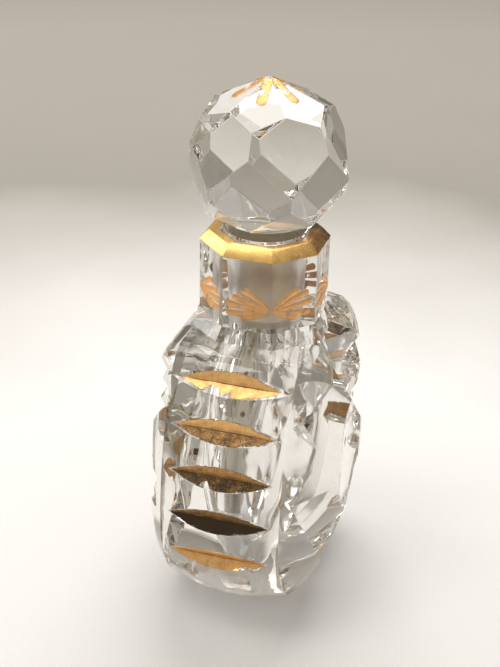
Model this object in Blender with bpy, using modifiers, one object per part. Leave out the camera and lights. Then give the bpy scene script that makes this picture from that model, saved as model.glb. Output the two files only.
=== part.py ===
"""Cut-glass perfume bottle with a ground stopper and fired gilding, standing upright.

Frame: the origin is on the table under the middle of the base, +Z is up, X runs through the thin
side of the flattened body (between its two broad cut faces) and Y runs across its width.
Run it with: blender --background --python part.py
"""

import math

import bmesh
import bpy
from mathutils import Matrix, Vector

MM = 0.001

# Body outline, seen square on to a broad face: tangent arcs for corner, side and shoulder.
BODY_HALF_WIDTH = 23.0 * MM
WIDEST_HEIGHT = 19.4 * MM
CORNER_RADIUS = 20.0 * MM
SIDE_RADIUS = 51.0 * MM
SIDE_SWEEP = math.radians(28.0)
SHOULDER_RADIUS = 6.0 * MM

# Height at which the rings of a broad face meet: the middle of its dome and of its cutting.
BODY_CENTRE = 24.2 * MM

# Body section: a crowned strip round the narrow edge, a bevel, then a domed broad face.
STRIP_HALF = 9.5 * MM
STRIP_CROWN_RADIUS = 30.0 * MM
BEVEL_OUT = 1.5 * MM
BEVEL_INSET = 1.5 * MM
FACE_DOME = 4.5 * MM
DOME_POWER = 3
SHOULDER_FULLNESS = 1.5

# Hollow: a flattened egg below, a tapered ground bore above, a throat between them.
HOLLOW_HALF_THICKNESS = 5.8 * MM
HOLLOW_HALF_WIDTH = 14.0 * MM
HOLLOW_FLOOR = 8.0 * MM
HOLLOW_HEIGHT = 40.0 * MM
BORE_MOUTH_RADIUS = 5.0 * MM
BORE_TAPER = 0.7 * MM
BORE_LENGTH = 14.0 * MM
THROAT_DEPTH = 9.0 * MM

# Stopper: a ground peg, a collar, a round foot and a faceted ball.
PEG_CLEARANCE = 0.05 * MM
PEG_LENGTH = 13.0 * MM
SEAT_GAP = 0.1 * MM
COLLAR_STEP = 1.5 * MM
COLLAR_HEIGHT = 1.8 * MM
FOOT_LIP = 0.4 * MM
FOOT_HEIGHT = 0.9 * MM
BALL_RADIUS = 11.0 * MM
BALL_FOOT_CUT = 1.7 * MM
BALL_SIDES = 6
BALL_TURN = math.radians(2.8)
# Each row of facets: (elevation of its normal, its plane's distance beyond the radius, half-step turn).
CROWN_ROW = (math.radians(62.9), 0.34 * MM, 0.0)
UPPER_ROW = (math.radians(21.4), -0.02 * MM, 0.5)
GIRDLE_ROW = (math.radians(-11.4), -0.08 * MM, 0.0)
LOWER_ROW = (math.radians(-43.1), 0.37 * MM, 0.5)
BALL_ROWS = (CROWN_ROW, UPPER_ROW, GIRDLE_ROW, LOWER_ROW)

# Octagonal neck, built out from the bore: seat for the collar, flat ring, bevel. Radii are to an arris.
MOUTH_SEAT_CLEARANCE = 0.7 * MM
MOUTH_RING_WIDTH = 1.4 * MM
MOUTH_BEVEL_WIDTH = 1.4 * MM
MOUTH_BEVEL_HEIGHT = 1.5 * MM
NECK_SIDES = 8
NECK_RISE = 2.0 * MM
NECK_HEIGHT = 11.5 * MM
ROOT_FLARE = 3.0 * MM
ROOT_DROP = 4.0 * MM

# Mitre cuts down both narrow edges.
RIM_CUTS = 5
RIM_CUT_FIRST = 0.1 * MM
RIM_CUT_PITCH = 7.3 * MM
RIM_CUT_DEPTH = 1.1 * MM
RIM_CUT_HALF_ANGLE = math.radians(62.5)

# Cutting on each broad face: a lozenge of mitre cuts, a tall thumb cut and short flutes.
LOZENGE_HALF_WIDTH = 18.0 * MM
LOZENGE_HALF_HEIGHT = 19.3 * MM
LOZENGE_SIDE_DEPTH = 0.7 * MM
LOZENGE_TOP_DEPTH = 2.0 * MM
LOZENGE_FOOT_DEPTH = 1.2 * MM
LOZENGE_HALF_ANGLE = math.radians(48.0)
THUMB_HALF_WIDTH = 7.0 * MM
THUMB_HALF_HEIGHT = 11.5 * MM
THUMB_DEPTH = 1.6 * MM
FLUTES = 3
FLUTE_PITCH = 2.3 * MM
FLUTE_DEPTH = 0.9 * MM
FAN_CUTS = 3
FAN_DEPTH = 1.0 * MM
FAN_SPREAD = math.radians(17.0)
# Cuts that meet differ in depth by this, so that two floors cross and never share a point.
CROSSING_STEP = 0.05 * MM

# Fired gilding, as thin skins a hair clear of the glass.
GILT_THICKNESS = 0.15 * MM
GILT_GAP = 0.05 * MM
GILT_MARGIN = 0.06 * MM
SPRAY_ROOT_RISE = 3.7 * MM
SPRAY_ROOT_INSET = 0.5 * MM
SPRAY_TIP_GAP = 0.9 * MM
SPRAY_HEART = 1.6 * MM
# Each stroke of a spray, from the lowest up: (rise from level, share of the spray's reach).
SPRAY_STROKES = (
    (math.radians(-27.0), 0.70),
    (math.radians(-9.0), 1.0),
    (math.radians(11.0), 0.94),
    (math.radians(30.0), 0.80),
    (math.radians(52.0), 0.54),
)
SPRAY_STROKE_SPREAD = math.radians(6.5)
SPRAY_TIP_SPREAD = math.radians(4.9)
SPRAY_TIP_START = 0.72
DASH_LENGTH = 5.2 * MM
DASH_WIDTH = 1.3 * MM
DASH_START = 0.9 * MM

# Mesh fineness.
ARC_STEP = math.radians(8.0)
DASH_ARC_STEP = math.radians(25.0)
CROWN_RINGS = 3
DOME_RINGS = 5
RING_SPACING = 1.3
ROUND_STEPS = 32
GILT_STEPS = 8
CUT_OVERSHOOT = 4.0 * MM

BORE_END_RADIUS = BORE_MOUTH_RADIUS - BORE_TAPER
COLLAR_RADIUS = BORE_MOUTH_RADIUS + COLLAR_STEP
FOOT_RADIUS = COLLAR_RADIUS + FOOT_LIP
MOUTH_RING_INNER = COLLAR_RADIUS + MOUTH_SEAT_CLEARANCE
MOUTH_RING_OUTER = MOUTH_RING_INNER + MOUTH_RING_WIDTH
NECK_RADIUS = MOUTH_RING_OUTER + MOUTH_BEVEL_WIDTH
FACE_EDGE = STRIP_HALF + BEVEL_OUT
SHOULDER_TOP = WIDEST_HEIGHT + (SIDE_RADIUS - SHOULDER_RADIUS) * math.sin(SIDE_SWEEP) + SHOULDER_RADIUS
NECK_FOOT = SHOULDER_TOP + NECK_RISE
NECK_TOP = NECK_FOOT + NECK_HEIGHT
MOUTH_TOP = NECK_TOP + MOUTH_BEVEL_HEIGHT
BALL_FOOT = MOUTH_TOP + SEAT_GAP + COLLAR_HEIGHT
BALL_CENTRE = BALL_FOOT + BALL_RADIUS - BALL_FOOT_CUT


def clear_scene():
    for obj in list(bpy.data.objects):
        bpy.data.objects.remove(obj, do_unlink=True)


def new_collection(name):
    collection = bpy.data.collections.new(name)
    bpy.context.scene.collection.children.link(collection)
    return collection


def material(name, colour, roughness, metallic=0.0, transmission=0.0):
    made = bpy.data.materials.new(name)
    made.use_nodes = True
    shader = made.node_tree.nodes["Principled BSDF"]
    shader.inputs["Base Color"].default_value = (*colour, 1.0)
    shader.inputs["Roughness"].default_value = roughness
    shader.inputs["Metallic"].default_value = metallic
    shader.inputs["Transmission Weight"].default_value = transmission
    return made


def add_object(name, data, collection, finish=None, parent=None):
    obj = bpy.data.objects.new(name, data)
    collection.objects.link(obj)
    if finish:
        data.materials.append(finish)
    if parent:
        obj.parent = parent
        obj.matrix_parent_inverse = parent.matrix_basis.inverted()
    return obj


def mesh_from(bm, name):
    bmesh.ops.recalc_face_normals(bm, faces=bm.faces)
    mesh = bpy.data.meshes.new(name)
    bm.to_mesh(mesh)
    bm.free()
    return mesh


def hide_cutter(obj):
    obj.hide_render = True
    obj.display_type = "WIRE"
    return obj


def combine(target, other, operation):
    modifier = target.modifiers.new(f"{operation.lower()}_{other.name}", "BOOLEAN")
    modifier.operation = operation
    modifier.object = other


def arc(centre, radius, start, end, fineness=ARC_STEP):
    """Points of an arc about a centre, both ends included."""
    steps = max(2, math.ceil(abs(end - start) / fineness))
    angles = [start + (end - start) * i / steps for i in range(steps + 1)]
    return [(centre[0] + radius * math.cos(a), centre[1] + radius * math.sin(a)) for a in angles]


def corner_centre():
    return (BODY_HALF_WIDTH - CORNER_RADIUS, WIDEST_HEIGHT)


def side_centre():
    return (BODY_HALF_WIDTH - SIDE_RADIUS, WIDEST_HEIGHT)


def body_outline():
    """The body's whole outline in (y, z), counted round from the middle of the base."""
    side = arc(side_centre(), SIDE_RADIUS, 0.0, SIDE_SWEEP)
    shoulder_centre = (
        side[-1][0] - SHOULDER_RADIUS * math.cos(SIDE_SWEEP),
        side[-1][1] - SHOULDER_RADIUS * math.sin(SIDE_SWEEP),
    )
    corner = arc(corner_centre(), CORNER_RADIUS, -math.pi / 2, 0.0)
    shoulder = arc(shoulder_centre, SHOULDER_RADIUS, SIDE_SWEEP, math.pi / 2)
    half = corner + side[1:] + shoulder[1:]
    mirrored = [(-y, z) for y, z in reversed(half)]
    return [(0.0, half[0][1]), *half, (0.0, half[-1][1]), *mirrored]


def crown_drop(x):
    """How far the strip lies below its crown, x from its middle."""
    return x * x / (2 * STRIP_CROWN_RADIUS)


def face_inset():
    """Where the domed face begins, in from the crown of the narrow edge."""
    return crown_drop(STRIP_HALF) + BEVEL_INSET


def dome_x(inset):
    """The broad face's height above the middle plane, inset from the crown of the narrow edge."""
    share = (inset - face_inset()) / (BODY_HALF_WIDTH - face_inset())
    return FACE_EDGE + FACE_DOME * (1 - (1 - share) ** DOME_POWER)


def keep_height(inset, above):
    """The share of its height that a ring keeps: the face stays full up to the shoulder."""
    return 1.0 - (inset / BODY_HALF_WIDTH) ** (SHOULDER_FULLNESS if above else 1.0)


def inset_below(height):
    """The inset of the ring that crosses the face's centre line at a height below the middle."""
    drop = BODY_CENTRE - (WIDEST_HEIGHT - CORNER_RADIUS)
    return BODY_HALF_WIDTH * (1.0 - (BODY_CENTRE - height) / drop)


def body_rings():
    """(inset, x) from the middle of the narrow edge to the middle of a broad face."""
    steps = [STRIP_HALF * i / CROWN_RINGS for i in range(CROWN_RINGS + 1)]
    rings = [(crown_drop(x), x) for x in steps]
    for i in range(DOME_RINGS + 1):
        share = (i / DOME_RINGS) ** RING_SPACING
        inset = face_inset() + (BODY_HALF_WIDTH - face_inset()) * share
        rings.append((inset, dome_x(inset)))
    return rings


def body_blank():
    """A sphere's grid, each ring moved to its own scaled copy of the outline; the base is ground flat."""
    outline = body_outline()
    rings = body_rings()
    count = len(outline)
    last = len(rings) - 1
    bm = bmesh.new()
    bmesh.ops.create_uvsphere(bm, u_segments=count, v_segments=2 * last, radius=1.0)
    for vert in bm.verts:
        polar = math.acos(max(-1.0, min(1.0, vert.co.z)))
        ring = round(polar / math.pi * 2 * last) - last
        step = round(math.atan2(vert.co.y, vert.co.x) / (2 * math.pi) * count) % count
        inset, x = rings[abs(ring)]
        y, z = outline[step]
        height = BODY_CENTRE + (z - BODY_CENTRE) * keep_height(inset, z > BODY_CENTRE)
        vert.co = (math.copysign(x, -ring), y * (1.0 - inset / BODY_HALF_WIDTH), height)
    grind(bm, Vector((0, 0, -1)), Vector((0, 0, 0)))
    return mesh_from(bm, "bottle_glass")


def grind(bm, normal, point):
    """Cuts away what lies beyond a plane and closes the flat that it leaves."""
    geometry = [*bm.verts, *bm.edges, *bm.faces]
    cut = bmesh.ops.bisect_plane(
        bm, geom=geometry, plane_co=point, plane_no=normal, dist=1e-7, clear_outer=True
    )
    edges = [item for item in cut["geom_cut"] if isinstance(item, bmesh.types.BMEdge)]
    open_edges = [edge for edge in edges if edge.is_valid and len(edge.link_faces) == 1]
    if open_edges:
        bmesh.ops.contextual_create(bm, geom=open_edges)


def turned(name, profile, steps, collection, finish=None, parent=None):
    """A solid turned from (radius, height) points that run down its outer side from top to bottom."""
    bm = bmesh.new()
    verts = [bm.verts.new((radius, 0.0, height)) for radius, height in profile]
    for above, below in zip(verts, verts[1:]):
        bm.edges.new((above, below))
    mesh = bpy.data.meshes.new(name)
    bm.to_mesh(mesh)
    bm.free()
    obj = add_object(name, mesh, collection, finish, parent)
    screw = obj.modifiers.new("turn", "SCREW")
    screw.axis = "Z"
    screw.steps = steps
    screw.render_steps = steps
    screw.use_merge_vertices = True
    screw.merge_threshold = 1e-6
    return obj


def diamond_bar(name, half_width, half_height, length, placing, collection):
    """A bar of diamond section: its lower edge cuts a V. Local Z runs along it, local Y points out."""
    bm = bmesh.new()
    bmesh.ops.create_cone(bm, cap_ends=True, segments=4, radius1=1.0, radius2=1.0, depth=1.0)
    bmesh.ops.scale(bm, vec=(half_width, half_height, length), verts=bm.verts)
    cutter = add_object(name, mesh_from(bm, name), collection)
    cutter.matrix_world = placing
    return hide_cutter(cutter)


def frame_matrix(origin, along, out):
    """Local Z lies on along, local Y on out, at origin."""
    z_axis = Vector(along).normalized()
    y_axis = Vector(out).normalized()
    x_axis = y_axis.cross(z_axis)
    matrix = Matrix((x_axis, y_axis, z_axis)).transposed().to_4x4()
    matrix.translation = Vector(origin)
    return matrix


def rim_point(distance):
    """The crown of the +Y narrow edge, measured down it from the foot of the shoulder: (y, z, angle)."""
    side_length = SIDE_RADIUS * SIDE_SWEEP
    if distance < side_length:
        angle = SIDE_SWEEP - distance / SIDE_RADIUS
        centre, radius = side_centre(), SIDE_RADIUS
    else:
        angle = -(distance - side_length) / CORNER_RADIUS
        centre, radius = corner_centre(), CORNER_RADIUS
    return (centre[0] + radius * math.cos(angle), centre[1] + radius * math.sin(angle), angle)


def rim_placings():
    """(name, matrix) of each narrow-edge cut: local Z along X, local Y straight out of the edge."""
    placings = []
    for side, sign in (("front", -1), ("back", 1)):
        for i in range(RIM_CUTS):
            y, z, angle = rim_point(RIM_CUT_FIRST + i * RIM_CUT_PITCH)
            out = (0.0, sign * math.cos(angle), math.sin(angle))
            placing = frame_matrix((0.0, sign * y, z), (1.0, 0.0, 0.0), out)
            placings.append((f"{side}_cut_{i + 1}", placing))
    return placings


def rim_cutters(collection):
    half_height = RIM_CUT_DEPTH + CUT_OVERSHOOT
    half_width = half_height * math.tan(RIM_CUT_HALF_ANGLE)
    length = 2 * (STRIP_HALF + CUT_OVERSHOOT)
    lift = Matrix.Translation((0.0, half_height - RIM_CUT_DEPTH, 0.0))
    return [
        diamond_bar(f"cutter_{name}", half_width, half_height, length, placing @ lift, collection)
        for name, placing in rim_placings()
    ]


def lozenge_corners():
    """Back, top, front and foot corner of the +X face's lozenge, on the floors of its cuts."""
    return [
        Vector((FACE_EDGE - LOZENGE_SIDE_DEPTH, LOZENGE_HALF_WIDTH, BODY_CENTRE)),
        Vector((FACE_EDGE - LOZENGE_TOP_DEPTH, 0.0, BODY_CENTRE + LOZENGE_HALF_HEIGHT)),
        Vector((FACE_EDGE - LOZENGE_SIDE_DEPTH, -LOZENGE_HALF_WIDTH, BODY_CENTRE)),
        Vector((FACE_EDGE - LOZENGE_FOOT_DEPTH, 0.0, BODY_CENTRE - LOZENGE_HALF_HEIGHT)),
    ]


def groove(name, start, end, half_angle, side, collection):
    """A V cut whose floor runs straight from start to end on the +X face; side -1 mirrors it to -X."""
    half_height = CUT_OVERSHOOT + FACE_DOME
    half_width = half_height * math.tan(half_angle)
    along = end - start
    out = Vector((1.0, 0.0, 0.0)) - along * along.x / along.length_squared
    placing = frame_matrix((start + end) / 2 + out.normalized() * half_height, along, out)
    if side < 0:
        placing = Matrix.Rotation(math.pi, 4, "Z") @ placing
    return diamond_bar(name, half_width, half_height, along.length, placing, collection)


def face_cutters(side, tag, collection):
    """All the cutters of one broad face."""
    cutters = []
    corners = lozenge_corners()
    for i, corner in enumerate(corners):
        sink = Vector((CROSSING_STEP * (i % 2), 0.0, 0.0))
        start = corner - sink
        end = corners[(i + 1) % len(corners)] - sink
        reach = (end - start).normalized() * CUT_OVERSHOOT
        name = f"cutter_lozenge_{tag}_{i + 1}"
        cutters.append(groove(name, start - reach, end + reach, LOZENGE_HALF_ANGLE, side, collection))
    cutters.append(thumb_cutter(side, tag, collection))
    cutters.extend(flute_cutters(side, tag, collection))
    cutters.extend(fan_cutters(side, tag, collection))
    return cutters


def flute_cutters(side, tag, collection):
    """Short level grooves across the lozenge under the thumb cut, each as long as the lozenge there."""
    cutters = []
    bottom = lozenge_corners()[3].z
    for i in range(FLUTES):
        height = BODY_CENTRE - THUMB_HALF_HEIGHT - (i + 0.5) * FLUTE_PITCH
        reach = LOZENGE_HALF_WIDTH * (height - bottom) / LOZENGE_HALF_HEIGHT
        floor = dome_x(inset_below(height)) - FLUTE_DEPTH
        start = Vector((floor, -reach, height))
        end = Vector((floor, reach, height))
        cutters.append(groove(f"cutter_flute_{tag}_{i + 1}", start, end, math.pi / 4, side, collection))
    return cutters


def thumb_cutter(side, tag, collection):
    """A tall oval hollow in the middle of the face, ground with a large round wheel."""
    bm = bmesh.new()
    bmesh.ops.create_icosphere(bm, subdivisions=3, radius=1.0)
    width, height, depth = THUMB_HALF_WIDTH, THUMB_HALF_HEIGHT, THUMB_DEPTH
    swell = 2 * depth
    spread = 1 / math.sqrt(1 - ((swell - depth) / swell) ** 2)
    bmesh.ops.scale(bm, vec=(swell, width * spread, height * spread), verts=bm.verts)
    cutter = add_object(f"cutter_thumb_{tag}", mesh_from(bm, f"cutter_thumb_{tag}"), collection)
    cutter.location = (side * (FACE_EDGE + FACE_DOME + swell - depth), 0.0, BODY_CENTRE)
    return hide_cutter(cutter)


def fan_cutters(side, tag, collection):
    """Small mitre cuts that spread over the two upper corner lobes."""
    cutters = []
    back, top = lozenge_corners()[:2]
    hub = (back + top) / 2
    outward = Vector((0.0, LOZENGE_HALF_HEIGHT, LOZENGE_HALF_WIDTH)).normalized()
    for mirror in (1, -1):
        for i in range(FAN_CUTS):
            turn = Matrix.Rotation((i - (FAN_CUTS - 1) / 2) * FAN_SPREAD, 3, "X")
            along = turn @ outward
            start = hub + along * CUT_OVERSHOOT / 2
            end = hub + along * CUT_OVERSHOOT * 3
            start.y *= mirror
            end.y *= mirror
            start.x = end.x = FACE_EDGE - FAN_DEPTH - CROSSING_STEP * i
            name = f"cutter_fan_{tag}_{'back' if mirror > 0 else 'front'}_{i + 1}"
            cutters.append(groove(name, start, end, math.pi / 4, side, collection))
    return cutters


def neck_solid(collection):
    """The octagonal neck with its bevelled mouth and a flared root that runs into the shoulder."""
    profile = [
        (0.0, MOUTH_TOP),
        (MOUTH_RING_OUTER, MOUTH_TOP),
        (NECK_RADIUS, NECK_TOP),
        (NECK_RADIUS, NECK_FOOT),
        (NECK_RADIUS + ROOT_FLARE, NECK_FOOT - ROOT_DROP),
        (0.0, NECK_FOOT - ROOT_DROP),
    ]
    neck = turned("neck_blank", profile, NECK_SIDES, collection)
    neck.rotation_euler.z = math.pi / NECK_SIDES
    return hide_cutter(neck)


def bore_cutter(collection):
    """The tapered ground bore and the straight throat under it that opens into the hollow."""
    end = MOUTH_TOP - BORE_LENGTH
    throat_end = HOLLOW_FLOOR + HOLLOW_HEIGHT - THROAT_DEPTH
    slope = BORE_TAPER / BORE_LENGTH
    profile = [
        (0.0, MOUTH_TOP + CUT_OVERSHOOT),
        (BORE_MOUTH_RADIUS + slope * CUT_OVERSHOOT, MOUTH_TOP + CUT_OVERSHOOT),
        (BORE_END_RADIUS, end),
        (BORE_END_RADIUS, throat_end),
        (0.0, throat_end),
    ]
    return hide_cutter(turned("cutter_bore", profile, ROUND_STEPS, collection))


def hollow_cutter(collection):
    """A flattened egg, its grid turned half a step so that no edge lies on one of the bore's."""
    bm = bmesh.new()
    half_step = Matrix.Rotation(math.pi / ROUND_STEPS, 4, "Z")
    rings = ROUND_STEPS // 2
    bmesh.ops.create_uvsphere(bm, u_segments=ROUND_STEPS, v_segments=rings, radius=1.0, matrix=half_step)
    scale = (HOLLOW_HALF_THICKNESS, HOLLOW_HALF_WIDTH, HOLLOW_HEIGHT / 2)
    bmesh.ops.scale(bm, vec=scale, verts=bm.verts)
    cutter = add_object("cutter_hollow", mesh_from(bm, "cutter_hollow"), collection)
    cutter.location.z = HOLLOW_FLOOR + HOLLOW_HEIGHT / 2
    return hide_cutter(cutter)


def build_bottle(parts, cutters, glass, root):
    bottle = add_object("bottle_glass", body_blank(), parts, glass, root)
    combine(bottle, neck_solid(cutters), "UNION")
    tools = rim_cutters(cutters) + face_cutters(1, "right", cutters) + face_cutters(-1, "left", cutters)
    for cutter in [*tools, hollow_cutter(cutters), bore_cutter(cutters)]:
        combine(bottle, cutter, "DIFFERENCE")


def faceted_ball(collection):
    """A block ground to rows of flat facets round its centre."""
    bm = bmesh.new()
    bmesh.ops.create_cube(bm, size=4 * BALL_RADIUS)
    for elevation, beyond, half_step in BALL_ROWS:
        for i in range(BALL_SIDES):
            turn = BALL_TURN + (i + half_step) * 2 * math.pi / BALL_SIDES
            normal = facet_normal(elevation, turn)
            grind(bm, normal, normal * (BALL_RADIUS + beyond))
    grind(bm, Vector((0, 0, -1)), Vector((0, 0, BALL_FOOT + FOOT_HEIGHT - BALL_CENTRE)))
    ball = add_object("ball_blank", mesh_from(bm, "ball_blank"), collection)
    ball.location.z = BALL_CENTRE
    return hide_cutter(ball)


def facet_normal(elevation, turn):
    """A direction at an elevation, turned about Z from the front (-Y)."""
    flat = math.cos(elevation)
    return Vector((math.sin(turn) * flat, -math.cos(turn) * flat, math.sin(elevation)))


def bore_radius(height):
    """The ground bore's radius at a height inside its tapered length."""
    return BORE_MOUTH_RADIUS - BORE_TAPER * (MOUTH_TOP - height) / BORE_LENGTH


def build_stopper(parts, cutters, glass, slide):
    """Foot, collar and tapered peg are turned in one, then the ball is joined on top."""
    seat = MOUTH_TOP + SEAT_GAP
    peg_end = seat - PEG_LENGTH
    profile = [
        (0.0, BALL_FOOT + FOOT_HEIGHT * 2),
        (FOOT_RADIUS - FOOT_HEIGHT, BALL_FOOT + FOOT_HEIGHT * 2),
        (FOOT_RADIUS, BALL_FOOT + FOOT_HEIGHT / 2),
        (FOOT_RADIUS, BALL_FOOT),
        (COLLAR_RADIUS, BALL_FOOT),
        (COLLAR_RADIUS, seat),
        (bore_radius(seat) - PEG_CLEARANCE, seat),
        (bore_radius(peg_end) - PEG_CLEARANCE, peg_end),
        (0.0, peg_end),
    ]
    stopper = turned("stopper_glass", profile, ROUND_STEPS, parts, glass, slide)
    combine(stopper, faceted_ball(cutters), "UNION")


def gilt_rim_cut(name, placing, parts, gilt, root):
    """A V skin of boat outline over one narrow-edge cut: its two flanks meet in a straight valley."""
    tangent = math.tan(RIM_CUT_HALF_ANGLE)
    lift = GILT_GAP / math.sin(RIM_CUT_HALF_ANGLE)
    floor = lift - RIM_CUT_DEPTH
    rise = RIM_CUT_DEPTH - lift - GILT_MARGIN
    end = math.sqrt(2 * STRIP_CROWN_RADIUS * (rise - GILT_MARGIN))
    bm = bmesh.new()
    rows = []
    for i in range(GILT_STEPS + 1):
        along = -end + 2 * end * i / GILT_STEPS
        height = rise - along * along / (2 * STRIP_CROWN_RADIUS)
        out = floor + height
        points = ((-height * tangent, out), (0.0, floor), (height * tangent, out))
        rows.append([bm.verts.new((across, level, along)) for across, level in points])
    for row, following in zip(rows, rows[1:]):
        for j in range(2):
            bm.faces.new((row[j], row[j + 1], following[j + 1], following[j]))
    mesh = mesh_from(bm, name)
    skin = add_object(name, mesh, parts, gilt, root)
    skin.matrix_world = placing
    solidify = skin.modifiers.new("skin", "SOLIDIFY")
    solidify.thickness = GILT_THICKNESS
    solidify.offset = 1.0 if mesh.polygons[0].normal.y > 0 else -1.0
    solidify.use_even_offset = True


def mouth_line(clear):
    """Bore side, corner and foot of the mouth's flat and bevel, moved out of the glass by clear."""
    slope = math.atan2(MOUTH_BEVEL_HEIGHT, NECK_RADIUS - MOUTH_RING_OUTER)
    return [
        (MOUTH_RING_INNER, MOUTH_TOP + clear),
        (MOUTH_RING_OUTER + clear * math.tan(slope / 2), MOUTH_TOP + clear),
        (NECK_RADIUS + clear * math.sin(slope), NECK_TOP + clear * math.cos(slope)),
    ]


def gilt_mouth(parts, gilt, root):
    """The gilded flat and bevel of the mouth, an eight-sided cap skin open in the middle."""
    outer = mouth_line(2 * GILT_GAP + GILT_THICKNESS)
    inner = mouth_line(2 * GILT_GAP)
    profile = [*outer, *reversed(inner), outer[0]]
    cap = turned("gilt_mouth_rim", profile, NECK_SIDES, parts, gilt, root)
    cap.rotation_euler.z = math.pi / NECK_SIDES


def plate(name, outline, placing, parts, gilt, parent):
    """A thin flat piece of gilding from its outline in local X and Y; local Z points out of the glass."""
    curve = bpy.data.curves.new(name, "CURVE")
    curve.dimensions = "2D"
    curve.fill_mode = "BOTH"
    curve.extrude = GILT_THICKNESS / 2
    spline = curve.splines.new("POLY")
    spline.points.add(len(outline) - 1)
    for point, (across, up) in zip(spline.points, outline):
        point.co = (across, up, 0.0, 1.0)
    spline.use_cyclic_u = True
    obj = add_object(name, curve, parts, gilt, parent)
    obj.matrix_world = placing


def spray_outline(direction, reach):
    """A leaf spray: pointed strokes that spread from one root; direction is +1 or -1 along its panel."""
    points = [(0.0, 0.0)]
    for rise, share in SPRAY_STROKES:
        length = reach * share
        points.append((rise - SPRAY_STROKE_SPREAD, SPRAY_HEART))
        points.append((rise - SPRAY_TIP_SPREAD, length * SPRAY_TIP_START))
        points.append((rise, length))
        points.append((rise + SPRAY_TIP_SPREAD, length * SPRAY_TIP_START))
        points.append((rise + SPRAY_STROKE_SPREAD, SPRAY_HEART))
    return [(math.cos(angle) * out * direction, math.sin(angle) * out) for angle, out in points]


def build_sprays(parts, gilt, root):
    """Eight leaf sprays, one on each neck panel, in mirrored pairs that share an arris."""
    flat = NECK_RADIUS * math.cos(math.pi / NECK_SIDES)
    half_panel = NECK_RADIUS * math.sin(math.pi / NECK_SIDES)
    out_by = flat + GILT_GAP + GILT_THICKNESS / 2
    reach = 2 * half_panel - SPRAY_ROOT_INSET - SPRAY_TIP_GAP
    for i in range(NECK_SIDES):
        turn = i * 2 * math.pi / NECK_SIDES
        shared = 1 if i % 2 == 0 else -1
        out = Vector((math.sin(turn), -math.cos(turn), 0.0))
        across = Vector((math.cos(turn), math.sin(turn), 0.0))
        origin = out * out_by + across * shared * (half_panel - SPRAY_ROOT_INSET)
        origin.z = NECK_FOOT + SPRAY_ROOT_RISE
        placing = Matrix((across, Vector((0, 0, 1)), out)).transposed().to_4x4()
        placing.translation = origin
        outline = spray_outline(-shared, reach)
        plate(f"gilt_neck_spray_{i + 1}", outline, placing, parts, gilt, root)


def dash_outline():
    """A stroke with round ends, running up from the origin."""
    radius = DASH_WIDTH / 2
    low = arc((0.0, radius), radius, -math.pi, 0.0, DASH_ARC_STEP)
    high = arc((0.0, DASH_LENGTH - radius), radius, 0.0, math.pi, DASH_ARC_STEP)
    return low + high


def build_dashes(parts, gilt, slide):
    """One stroke down the middle of each crown facet of the ball."""
    elevation, beyond, half_step = CROWN_ROW
    distance = BALL_RADIUS + beyond
    for i in range(BALL_SIDES):
        turn = BALL_TURN + (i + half_step) * 2 * math.pi / BALL_SIDES
        out = facet_normal(elevation, turn)
        up = facet_normal(elevation + math.pi / 2, turn)
        apex = distance / math.tan(elevation)
        lowest = apex - DASH_START - DASH_LENGTH
        origin = out * (distance + GILT_GAP + GILT_THICKNESS / 2) + up * lowest
        origin.z += BALL_CENTRE
        placing = Matrix((up.cross(out), up, out)).transposed().to_4x4()
        placing.translation = origin
        plate(f"gilt_stopper_stroke_{i + 1}", dash_outline(), placing, parts, gilt, slide)


def add_empty(name, collection, height):
    empty = bpy.data.objects.new(name, None)
    collection.objects.link(empty)
    empty.location.z = height
    return empty


def main():
    clear_scene()
    parts = new_collection("perfume_bottle")
    cutters = new_collection("cutters")
    glass = material("cut_glass", (0.93, 0.93, 0.91), 0.03, transmission=1.0)
    gilt = material("fired_gold", (0.83, 0.52, 0.22), 0.35, metallic=1.0)
    root = add_empty("bottle_axis", parts, 0.0)
    slide = add_empty("stopper_slide_axis", parts, MOUTH_TOP)
    bpy.context.view_layer.update()
    build_bottle(parts, cutters, glass, root)
    build_stopper(parts, cutters, glass, slide)
    for name, placing in rim_placings():
        gilt_rim_cut(f"gilt_{name}", placing, parts, gilt, root)
    gilt_mouth(parts, gilt, root)
    build_sprays(parts, gilt, root)
    build_dashes(parts, gilt, slide)


if __name__ == "__main__":
    main()
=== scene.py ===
"""Looks of a cut-glass scent bottle with a ground stopper and fired gilding, on a pale cloth.

Every length is in metres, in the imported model's own frame: the origin is on the table under the
middle of the base, +Z is up, X runs through the thin side of the flattened body and Y across it.
"""

import logging
import math
from dataclasses import dataclass, field
from enum import Enum
from typing import Callable

import bmesh
import bpy
from mathutils import Matrix, Vector, noise


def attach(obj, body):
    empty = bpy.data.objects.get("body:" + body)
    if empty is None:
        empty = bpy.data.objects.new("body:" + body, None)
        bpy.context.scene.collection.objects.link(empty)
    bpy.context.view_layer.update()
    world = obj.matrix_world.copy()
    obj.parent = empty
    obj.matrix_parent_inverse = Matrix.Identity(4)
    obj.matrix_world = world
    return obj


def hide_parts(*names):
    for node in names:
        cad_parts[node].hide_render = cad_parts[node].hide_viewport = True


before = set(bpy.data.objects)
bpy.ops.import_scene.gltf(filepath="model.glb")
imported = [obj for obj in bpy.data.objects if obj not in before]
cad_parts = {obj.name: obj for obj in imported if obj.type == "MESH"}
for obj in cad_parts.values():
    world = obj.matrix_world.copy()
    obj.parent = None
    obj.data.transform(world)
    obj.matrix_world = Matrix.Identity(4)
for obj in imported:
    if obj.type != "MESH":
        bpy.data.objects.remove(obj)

MM = 0.001
LOG = logging.getLogger("scent_bottle")

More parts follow.
